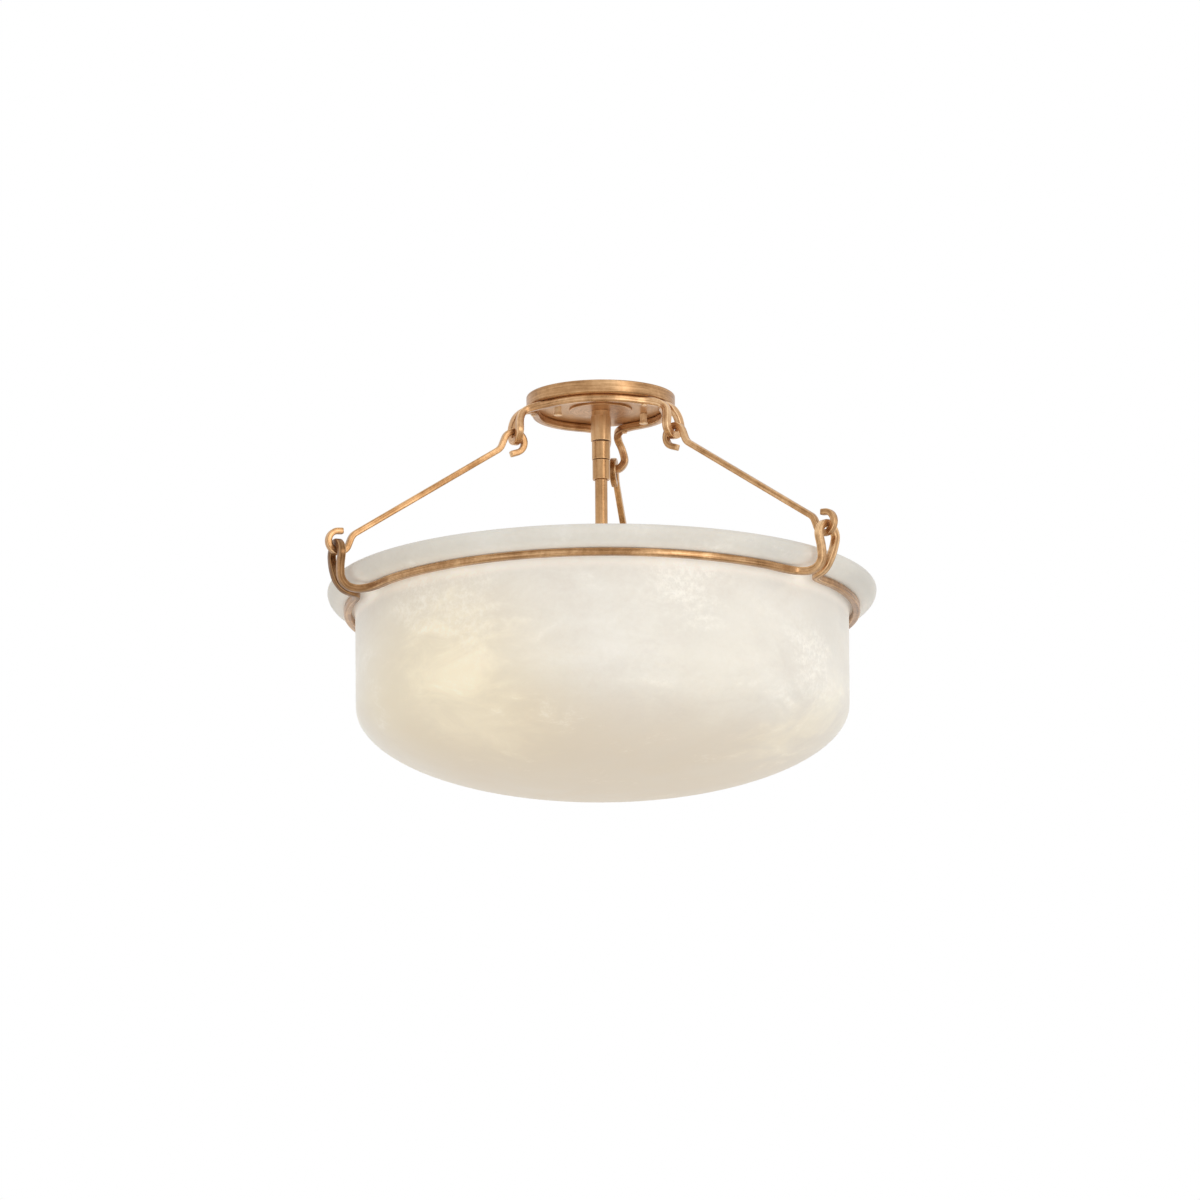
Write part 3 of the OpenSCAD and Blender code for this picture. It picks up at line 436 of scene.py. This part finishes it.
# A light copy of the brass: painted light on the cap nuts in the canopy's shade, shared by the ring
# screws
painted_light_brass = brass(
    "painted_light_brass", rgb(228, 186, 140), rgb(252, 217, 173), rgb(255, 232, 197),
    way="rubbed", rough=0.36, pattern=0.8, metallic=0.15)
inner_brass = brass(
    "inner_brass", rgb(150, 108, 66), rgb(190, 146, 98), rgb(222, 182, 132),
    way="rubbed", rough=0.36)
bright_brass = metal("bright_brass", rgb(190, 150, 80), rgb(226, 190, 116), 0.28)
zinc = metal("zinc", rgb(150, 152, 154), rgb(196, 198, 198), 0.34)
cap_metal = metal("cap_metal", rgb(172, 172, 174), rgb(214, 214, 214), 0.3)
green = plain("green", rgb(28, 88, 44), rgb(40, 112, 58), 0.35)
nylon = plain("nylon", rgb(214, 208, 192), rgb(232, 228, 214), 0.5)
porcelain = plain("porcelain", rgb(232, 229, 221), rgb(245, 243, 238), 0.2)
opal = plain("opal", rgb(246, 240, 226), rgb(253, 249, 240), 0.25, scale=30,
             glow=(rgb(255, 226, 178), rgb(255, 240, 208)), strength=0.7)
stone = alabaster("stone")


# ---- piece makers --------------------------------------------------------------------------------

def piece(name, points, faces, uvs, wear_and_painted_light, material, body, slot, *replaced):
    """A mesh in the row frame, from points in millimetres.

    uvs holds a pair for each face corner, in millimetres too, and wear a number for each point."""
    mesh = bpy.data.meshes.new(name)
    mesh.from_pydata([tuple(p) for p in np.asarray(points) * MM], [], faces)
    uvs = np.asarray(np.array(uvs) * MM, np.float32)
    mesh.uv_layers.new(name="UVMap").data.foreach_set("uv", uvs.ravel())
    wear_and_painted_light = np.asarray(wear_and_painted_light, np.float32)
    mesh.attributes.new("wear_and_painted_light", "FLOAT", "POINT").data.foreach_set("value", wear_and_painted_light)
    mesh.shade_smooth()
    mesh.set_sharp_from_angle(angle=math.radians(SHARP_ANGLE))
    mesh.materials.append(material)
    mesh.validate()
    mesh.update()
    o = bpy.data.objects.new(name, mesh)
    bpy.context.scene.collection.objects.link(o)
    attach(o, body)
    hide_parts(*replaced)
    return o


def bar_section(half, edge, wears):
    """Section of a worn square bar, as (x, y, wear).

    Each corner is an arc, with a point on the flat on either side of it."""
    beside = 0.7
    corner = half - edge
    flat_end = corner - beside
    out = []
    for k, worn in enumerate(wears):
        c, s = along(90 * k)
        local = [(half, flat_end, 0.0)]
        for angle, wear_and_painted_light in ((5, 0.2), (32, 1.0), (58, 1.0), (85, 0.2)):
            x, y = along(angle)
            local.append((corner + edge * x, corner + edge * y, wear_and_painted_light * worn))
        local.append((flat_end, half, 0.0))
        out += [(x * c - y * s, x * s + y * c, w) for x, y, w in local]
    return out


def bar(name, centres, sides, half, edge, wears, under, closed, *rest):
    """A square bar swept along centres; sides give the way one of its faces looks.

    wears is how much lighter its four edges are made, partly for rubbing and partly as a painted
    highlight, and under the least painted light that its underside gets. rest is what piece()
    takes after the mesh."""
    centres, sides = np.array(centres, float), np.array(sides, float)
    count = len(centres)
    if closed:
        ahead = np.roll(centres, -1, 0) - np.roll(centres, 1, 0)
    else:
        ahead = np.gradient(centres, axis=0)
    ahead /= np.linalg.norm(ahead, axis=1)[:, None]
    sides -= (sides * ahead).sum(1)[:, None] * ahead
    sides /= np.linalg.norm(sides, axis=1)[:, None]
    across = np.cross(ahead, sides)
    section = bar_section(half, edge, wears)
    m = len(section)
    scale = np.ones(count)
    ends = []
    if not closed:
        # Each cut end draws in a little over its last two sections
        scale[[0, -1]], scale[[1, -2]] = 0.84, 0.95
        ends = [0, 1, count - 2, count - 1]

    points, wear_and_painted_light = [], []
    for i in range(count):
        for x, y, w in section:
            offset = x * across[i] + y * sides[i]
            points.append(centres[i] + scale[i] * offset)
            # A point as low as this is on the underside, which gets at least the painted light
            # under
            if offset[2] < -0.97 * half:
                w = max(w, under)
            wear_and_painted_light.append(END_WEAR if i in ends else w)

    # Lengths along the bar and round its section, for the texture
    steps = np.linalg.norm(np.diff(centres, axis=0, append=centres[:1]), axis=1)
    gone = np.concatenate([[0], np.cumsum(steps)])
    girth = [0.0]
    for j in range(m):
        (x0, y0, _), (x1, y1, _) = section[j], section[(j + 1) % m]
        girth.append(girth[-1] + math.hypot(x1 - x0, y1 - y0))

    faces, uvs = [], []
    for i in range(count if closed else count - 1):
        for j in range(m):
            a, c = (i + 1) % count, (j + 1) % m
            faces.append((i * m + j, a * m + j, a * m + c, i * m + c))
            uvs += [(gone[i], girth[j]), (gone[i + 1], girth[j]),
                    (gone[i + 1], girth[j + 1]), (gone[i], girth[j + 1])]
    if not closed:
        for i, order in ((0, range(m)), (count - 1, range(m - 1, -1, -1))):
            faces.append(tuple(i * m + j for j in order))
            uvs += [(gone[i] + section[j][0], section[j][1]) for j in order]
    o = piece(name, points, faces, uvs, wear_and_painted_light, *rest)

    # A negative volume means that the faces look inwards
    volume = sum(np.dot(points[face[0]], np.cross(points[face[k]], points[face[k + 1]]))
                 for face in faces for k in range(1, len(face) - 1))
    if volume < 0:
        o.data.flip_normals()


def winding(points):
    """Twice the area inside a closed line, above 0 where it runs anticlockwise."""
    return sum(a[0] * b[1] - a[1] * b[0] for a, b in zip(points, points[1:] + points[:1]))


def rounded(outline, radius):
    """A closed outline of (r, z) with every corner rounded a little.

    Gives (point, wear) pairs: wear is 1 on an outer corner, -1 in an inner one and 0 elsewhere."""
    corners = [np.array(p, float) for p in outline]
    direction = 1 if winding(corners) > 0 else -1
    # Steps round a corner, the sine of a bend that stays as it is, and the most of a side that a
    # corner takes up, and that the point beside it does
    steps, slight, corner_share, beside_share = 3, 0.25, 0.45, 0.2
    out = []
    for i, p in enumerate(corners):
        before, after = corners[i - 1] - p, corners[(i + 1) % len(corners)] - p
        la, lb = np.linalg.norm(before), np.linalg.norm(after)
        cross = (-before[0] * after[1] + before[1] * after[0]) * direction
        bend = cross / (la * lb)
        if abs(bend) < slight:
            out.append((p, 0.0))
            continue
        cut = min(radius, la * corner_share, lb * corner_share)
        near = min(0.5, la * beside_share, lb * beside_share)
        a, b = p + before / la * cut, p + after / lb * cut
        w = 1.0 if bend > 0 else -1.0
        out.append((a + before / la * near, 0.0))
        for k in range(steps + 1):
            t = k / steps
            out.append(((1 - t) ** 2 * a + 2 * t * (1 - t) * p + t * t * b, w))
        out.append((b + after / lb * near, 0.0))
    return out


def lathe(name, line, *rest, segments=96):
    """A turned piece about Z, from a closed line of (point, wear) pairs with points (r, z).

    rest is what piece() takes after the mesh."""
    m = len(line)
    on_axis_r = 1e-9
    profile = [p for p, _ in line]
    profile_wear = [w for _, w in line]
    clockwise = winding(profile) < 0

    # Lengths round the piece, at its mean radius, and along the line, for the texture
    mean = max(1.0, sum(p[0] for p in profile) / m)
    run = [0.0]
    for j in range(m):
        run.append(run[-1] + float(np.linalg.norm(profile[(j + 1) % m] - profile[j])))

    points = []
    for i in range(segments):
        c, s = along(90 + 360 * i / segments)
        points += [(r * c, r * s, z) for r, z in profile]
    faces, uvs = [], []
    for i in range(segments):
        k = (i + 1) % segments
        u0, u1 = 2 * math.pi * mean * i / segments, 2 * math.pi * mean * (i + 1) / segments
        for j in range(m):
            l = (j + 1) % m
            on_axis = profile[j][0] < on_axis_r, profile[l][0] < on_axis_r
            if all(on_axis):
                continue
            corners = [(i * m + j, u0, run[j]), (k * m + j, u1, run[j]),
                       (k * m + l, u1, run[j + 1]), (i * m + l, u0, run[j + 1])]
            # A point on the axis is shared by every segment
            if on_axis[0]:
                corners = [(j, u0, run[j])] + corners[2:]
            elif on_axis[1]:
                corners = corners[:2] + [(l, u0, run[j + 1])]
            if clockwise:
                corners.reverse()
            faces.append(tuple(c[0] for c in corners))
            uvs += [(c[1], c[2]) for c in corners]

    used = sorted({i for face in faces for i in face})
    number = {v: i for i, v in enumerate(used)}
    piece(name, [points[i] for i in used], [tuple(number[i] for i in face) for face in faces],
          uvs, [profile_wear[i % m] for i in used], *rest)


def block(r_in, r_out, z_low, z_high):
    """Outline of a plain ring."""
    return [(r_in, z_low), (r_out, z_low), (r_out, z_high), (r_in, z_high)]


# ---- bent rings ----------------------------------------------------------------------------------

# Steps between two points of an eyelet's leg, the height over which the bar's face turns from level
# to upright, and the share of the reach over which a leg leaves the ring's circle
EYE_STEPS, TURN_H, LEAVE_SHARE = 8, 12, 0.4


def eyelet_run(ring):
    """Half an eyelet, from the ring to the middle of its round end: along, out, up."""
    reach, width, height = ring.eye_r - ring.r, ring.eye_w, ring.eye_h - ring.eye_w
    p = [np.array([a * ring.span, b * reach, c * height]) for a, b, c in ring.leg]
    for angle in (90, 60, 30, 0):
        c, s = along(angle)
        p.append(np.array([width * s, reach, height + width * c]))
    run = []
    for i in range(len(p) - 1):
        # A Catmull-Rom curve through the points, mirrored past the middle of the round end
        a = 2 * p[0] - p[1] if i == 0 else p[i - 1]
        b, c = p[i], p[i + 1]
        d = p[i] * np.array([-1, 1, 1]) if i == len(p) - 2 else p[i + 2]
        for k in range(EYE_STEPS):
            t = k / EYE_STEPS
            run.append(0.5 * (2 * b + (c - a) * t + (2 * a - 5 * b + 4 * c - d) * t * t
                              + (3 * b - a - 3 * c + d) * t ** 3))
    return run + [p[-1]]


def ring_places(ring):
    """Centres of a bent ring's bar, once round, and the way that the bar's top face looks there."""
    reach = ring.eye_r - ring.r
    run = eyelet_run(ring)
    half_arc = math.degrees(math.asin(ring.span / ring.r))
    centres, sides = [], []

    def place(u, r, up, side, turn):
        """Adds the point u along, r out and up, on one side of the direction turn."""
        rho, tau = np.array([*along(turn), 0]), np.array([*along(turn + 90), 0])
        share = max(0.0, min(1.0, up / TURN_H))
        share = share * share * (3 - 2 * share)
        # The upper ring lies flat under the canopy, so its legs never rise above it
        up = max(0.0, up) if ring.way < 0 else up
        centres.append(r * rho + side * u * tau + np.array([0, 0, ring.z + ring.way * up]))
        sides.append(np.array([0, 0, 1 - share]) - ring.way * share * rho)

    def radius(p):
        f = min(1.0, p[1] / (LEAVE_SHARE * reach))
        return math.sqrt(ring.r ** 2 - p[0] ** 2) * (1 - f) + ring.r * f + p[1]

    for turn in EYES:
        for p in run:
            place(p[0], radius(p), p[2], -1, turn)
        for p in run[-2::-1]:
            place(p[0], radius(p), p[2], 1, turn)
        for i in range(1, ring.arc_steps):
            step = (EYE_STEP - 2 * half_arc) * i / ring.arc_steps
            place(0, ring.r, 0, 1, turn + half_arc + step)
    return centres, sides


bar("upper_ring_bar", *ring_places(UPPER), BAR / 2, RING_EDGE, RING_WEAR_AND_HIGHLIGHT, NO_PAINTED_UNDERSIDE_LIGHT, True,
    ring_brass, "canopy_set", "worn_brass", "upper_ring")
bar("lower_ring_bar", *ring_places(LOWER), BAR / 2, RING_EDGE, RING_WEAR_AND_HIGHLIGHT, PAINTED_UNDERSIDE_LIGHT, True,
    dark_brass, "carrier", "worn_brass", "lower_ring")


# ---- hook rods -----------------------------------------------------------------------------------

def half_rod(hook_end, tip, mid):
    """Upper half of a hook rod's centre line in its upright plane, from its tip: outward, up.

    mid is the rod's middle, where its straight stretch ends."""
    centre = np.array(UPPER_HOOK)
    hook_steps, bend_steps = 52, 10
    shank, straight = along(-SHANK_SLOPE), along(-ROD_SLOPE)
    start = centre + HOOK_R * along(90 - SHANK_SLOPE)
    # The shank's length up to where it would meet the straight stretch, less what the bend takes
    d = mid - start
    length = ((d[0] * straight[1] - d[1] * straight[0])
              / (shank[0] * straight[1] - shank[1] * straight[0]))
    back = ROD_BEND * math.tan(math.radians((SHANK_SLOPE - ROD_SLOPE) / 2))
    bend = start + (length - back) * shank + ROD_BEND * along(90 - SHANK_SLOPE)
    stop = centre + HOOK_R * along(hook_end)
    line = [stop + k * along(hook_end + 90)
            for k in (tip, tip - 0.3, tip - 1, 0.6 * tip, 0.3 * tip)]
    line += [centre + HOOK_R * along(a)
             for a in np.linspace(hook_end, 90 - SHANK_SLOPE, hook_steps)]
    first, last = line[-1], bend + ROD_BEND * along(270 - SHANK_SLOPE)
    line += [first + (last - first) * t for t in (0.35, 0.7)]
    line += [bend + ROD_BEND * along(a)
             for a in np.linspace(270 - SHANK_SLOPE, 270 - ROD_SLOPE, bend_steps)]
    return line + [line[-1] + (mid - line[-1]) * t for t in (0.15, 0.35, 0.55, 0.75)]


# The lower half is drawn like an upper one and turned about the rod's middle
rod_mid = (np.array(UPPER_HOOK) + np.array(LOWER_HOOK)) / 2
rod_line = half_rod(UPPER_HOOK_END, UPPER_TIP, rod_mid) + [rod_mid]
rod_line += [2 * rod_mid - q for q in reversed(half_rod(LOWER_HOOK_END, LOWER_TIP, rod_mid))]
for side, eye in zip(("back", "left", "right"), EYES):
    rho, tau = np.array([*along(eye), 0]), np.array([*along(eye + 90), 0])
    centres = [q[0] * rho + np.array([0, 0, q[1]]) for q in rod_line]
    bar(f"hook_bar_{side}", centres, [tau] * len(centres), ROD / 2, ROD_EDGE, ROD_WEAR_AND_HIGHLIGHT, NO_PAINTED_UNDERSIDE_LIGHT,
        False, worn_brass, f"{side}_hook", "worn_brass", f"hook_rod_{side}")


# ---- stem ----------------------------------------------------------------------------------------

neck = [(NIPPLE_HOLE_R, NIPPLE_END), (NIPPLE_BORE_R, NIPPLE_END), (NIPPLE_BORE_R, SPIGOT_END),
        (SPIGOT_R, SPIGOT_END), (SPIGOT_R, CUP_TOP), (NECK_R, CUP_TOP), (NECK_R, DISC_FACE),
        (NIPPLE_HOLE_R, DISC_FACE)]
cup = [(CUP_MOUTH_R, CUP_BOTTOM), (CUP_R, CUP_BOTTOM), (CUP_R, CUP_TOP), (CUP_BORE_R, CUP_TOP)]
for angle in (0, 12, 24, 36, 46):
    c, s = along(-angle)
    cup.append((max(CUP_MOUTH_R, CUP_BORE_R * c), BALL_Z + CUP_BORE_R * s))
sleeve = [(TUBE_SEAT_R, SLEEVE_BOTTOM), (SLEEVE_R, SLEEVE_BOTTOM), (SLEEVE_R, SLEEVE_TOP),
          (SHANK_BORE_R, SLEEVE_TOP), (SHANK_BORE_R, SHANK_END), (TUBE_SEAT_R, SHANK_END)]

# Piece, outline, radius of its corners, material, body and the node that it replaces
for name, outline, radius, material, body, node in (
        ("disc_turned", block(NIPPLE_HOLE_R, DISC_R, DISC_FACE, CANOPY_FACE), 0.5,
         disc_brass, "canopy_set", "canopy_disc"),
        ("neck_turned", neck, 0.3, painted_light_neck_brass, "canopy_set", "swivel_neck"),
        ("cup_turned", cup, 0.35, painted_light_neck_brass, "canopy_set", "swivel_cup"),
        ("sleeve_turned", sleeve, 0.45, drawn_brass, "stem", "swivel_sleeve"),
        ("coupling_turned", block(TUBE_SEAT_R, COUPLING_R, COUPLING_BOTTOM, COUPLING_TOP), 0.45,
         drawn_brass, "stem", "stem_coupling"),
        ("tube_drawn", block(TUBE_BORE_R, TUBE_R, TUBE_BOTTOM, TUBE_TOP), 0.2,
         drawn_brass, "stem", "stem_tube")):
    lathe(name, rounded(outline, radius), material, body, "satin_brass", node)


# ---- bowl ----------------------------------------------------------------------------------------

def bowl_line():
    """Outside from the bottom to the lip, round the lip's edge, and down the inside."""
    # Radii outside, of the wall, the foot of the flare and the lip, and inside, from the top down
    wall, flare, lip = 250.4, 256.0, 278.6
    edge, throat, inner = 267.8, 250, 242.4
    # Heights of the spring of the curved bottom, the seat on the ring and the lip's round edge
    spring, seat, lip_z = -322.65, -219.65, -203.65
    wall_z = (-300, -270, -245)
    # Depth of the curved bottom outside and inside, and heights and radius of the curves above it
    depth, inner_depth = 82, 74
    cove_h, flare_h, lip_r, dish_h, throat_h = 9, 16, 5.4, 8, 14
    out = [(wall * s, spring - depth * c) for c, s in map(along, range(0, 90, 3))]
    out += [(wall, z) for z in (spring, *wall_z)]
    out += [(wall + (flare - wall) * (1 - c), seat - cove_h * (1 - s))
            for c, s in map(along, range(0, 91, 10))]
    out += [(flare + (lip - flare) * s, lip_z - flare_h * c)
            for c, s in map(along, range(6, 90, 6))]
    out += [(lip - lip_r + lip_r * c, lip_z + lip_r * s)
            for c, s in map(along, range(0, 181, 12))]
    out += [(throat + (edge - throat) * s, lip_z - dish_h * c)
            for c, s in map(along, range(80, -1, -10))]
    out += [(throat - (throat - inner) * s, lip_z - dish_h - throat_h * (1 - c))
            for c, s in map(along, range(10, 91, 10))]
    out += [(inner, z) for z in reversed(wall_z)]
    out += [(inner * s, spring - inner_depth * c) for c, s in map(along, range(90, -1, -3))]
    return [(np.array(p, float), 0.0) for p in out]


lathe("bowl_stone", bowl_line(), stone, "shade", "alabaster", "bowl", segments=240)


# ---- carried-over nodes --------------------------------------------------------------------------

def finish_node(material, *names):
    """Gives CAD nodes a material in place of their own."""
    for name in names:
        mesh = nodes[name].data
        mesh.materials.clear()
        mesh.materials.append(material)
        for polygon in mesh.polygons:
            polygon.material_index = 0


finish_node(pressed_brass, "canopy")
finish_node(painted_light_brass, "cap_nut_left", "cap_nut_right", "ring_screws")
finish_node(inner_brass, "cluster_body", "cluster_cover", "cover_screws")
finish_node(zinc, "box_strap", "fixture_strap", "strap_eyelet", "canopy_studs", "stud_lock_nuts",
            "ring_screw_nuts", "stem_nipple", "lock_washer", "stem_nut", "swivel_ball")
finish_node(green, "ground_screw")
finish_node(nylon, "swivel_liner")
for lamp in (1, 2, 3):
    finish_node(inner_brass, f"socket_arm_{lamp}", f"lampholder_{lamp}")
    finish_node(porcelain, f"insulator_{lamp}")
    finish_node(bright_brass, f"centre_contact_{lamp}", f"screw_shell_{lamp}")
    finish_node(cap_metal, f"bulb_cap_{lamp}")
    finish_node(opal, f"bulb_glass_{lamp}")


# ---- camera, lights, world, floor ----------------------------------------------------------------

# The photograph is nearly a parallel view, from below and a little askew, so the camera stands far
# away with a long lens. Angles, then metres: the distance, the width of the view at the light, the
# height that it looks at, and how far the light stands right of the view's middle
TILT, ROLL = math.radians(13.4), math.radians(0.38)
AWAY, VIEW_W, LOOK_Z, LIGHT_RIGHT = 40.0, 1.2175, -0.2123, 0.00202
SENSOR_W = 36

ahead = Vector((0, math.cos(TILT), math.sin(TILT)))
right, up = Vector((1, 0, 0)), Vector((0, -math.sin(TILT), math.cos(TILT)))
cam_right = math.cos(ROLL) * right - math.sin(ROLL) * up
cam_up = math.sin(ROLL) * right + math.cos(ROLL) * up
camera = bpy.data.objects.new("camera", bpy.data.cameras.new("camera"))
bpy.context.scene.collection.objects.link(camera)
camera.data.sensor_width = SENSOR_W
camera.data.lens = SENSOR_W * AWAY / VIEW_W
camera.data.clip_start, camera.data.clip_end = 1.0, 100.0
spot = Vector((0, 0, LOOK_Z)) - AWAY * ahead - LIGHT_RIGHT * cam_right
turn = Matrix((cam_right, cam_up, -ahead)).transposed()
camera.matrix_world = Matrix.Translation(spot) @ turn.to_4x4()
bpy.context.scene.camera = camera

# Round soft lamps: place and diameter in metres, power in watts
AIM = Vector((0, 0, -0.2))
for name, place, size, watts in (("key", (1.9, -2.45, 0.35), 1.4, 9.5),
                                 ("side", (2.7, 0.3, 0.0), 1.2, 0.8),
                                 ("below", (0.0, -1.6, -1.15), 1.2, 4.5)):
    data = bpy.data.lights.new(name, "AREA")
    data.shape, data.size, data.energy = "DISK", size, watts
    lamp = bpy.data.objects.new(name, data)
    bpy.context.scene.collection.objects.link(lamp)
    lamp.location = place
    lamp.rotation_mode = "QUATERNION"
    lamp.rotation_quaternion = (AIM - Vector(place)).to_track_quat("-Z", "Y")

# A white world, a little weaker where it lights the object than where it is seen or reflected
WORLD_LIT, WORLD_SEEN = 0.78, 1.0
world = bpy.data.worlds.new("studio")
bpy.context.scene.world = world
world.use_nodes = True
tree = world.node_tree
tree.nodes.clear()
rays = tree.nodes.new("ShaderNodeLightPath").outputs
seen = rays["Is Camera Ray"]
for ray in ("Is Glossy Ray", "Is Transmission Ray"):
    either = tree.nodes.new("ShaderNodeMath")
    either.operation = "MAXIMUM"
    tree.links.new(seen, either.inputs[0])
    tree.links.new(rays[ray], either.inputs[1])
    seen = either.outputs[0]
level = tree.nodes.new("ShaderNodeMapRange")
level.inputs["To Min"].default_value = WORLD_LIT
level.inputs["To Max"].default_value = WORLD_SEEN
tree.links.new(seen, level.inputs["Value"])
background = tree.nodes.new("ShaderNodeBackground")
background.inputs["Color"].default_value = (1, 1, 1, 1)
tree.links.new(level.outputs[0], background.inputs["Strength"])
world_out = tree.nodes.new("ShaderNodeOutputWorld")
tree.links.new(background.outputs[0], world_out.inputs["Surface"])

# A pale round floor, clear from its back, so that views from below look past it
FLOOR_R, FLOOR_Z = 2.6, -1.2
floor_mesh = bpy.data.meshes.new("floor")
rim = [(*FLOOR_R * along(a), FLOOR_Z) for a in range(0, 360, 4)]
floor_mesh.from_pydata(rim, [], [tuple(range(len(rim)))])
floor = bpy.data.objects.new("floor", floor_mesh)
bpy.context.scene.collection.objects.link(floor)
g = Graph("floor")
clouds = g.noise(g.object_xyz(), 1.5, 3)
g.set(Base_Color=g.ramp(clouds, (0.3, rgb(243, 242, 240)), (0.7, rgb(247, 246, 244))),
      Roughness=0.9, Specular_IOR_Level=0.1)
by_side = g.add("ShaderNodeMixShader")
g.put(by_side.inputs[0], g.add("ShaderNodeNewGeometry").outputs["Backfacing"])
g.put(by_side.inputs[1], g.shader.outputs[0])
g.put(by_side.inputs[2], g.add("ShaderNodeBsdfTransparent").outputs[0])
g.put(g.out.inputs["Surface"], by_side.outputs[0])
floor_mesh.materials.append(g.material)

bpy.context.scene.view_settings.view_transform = "Standard"
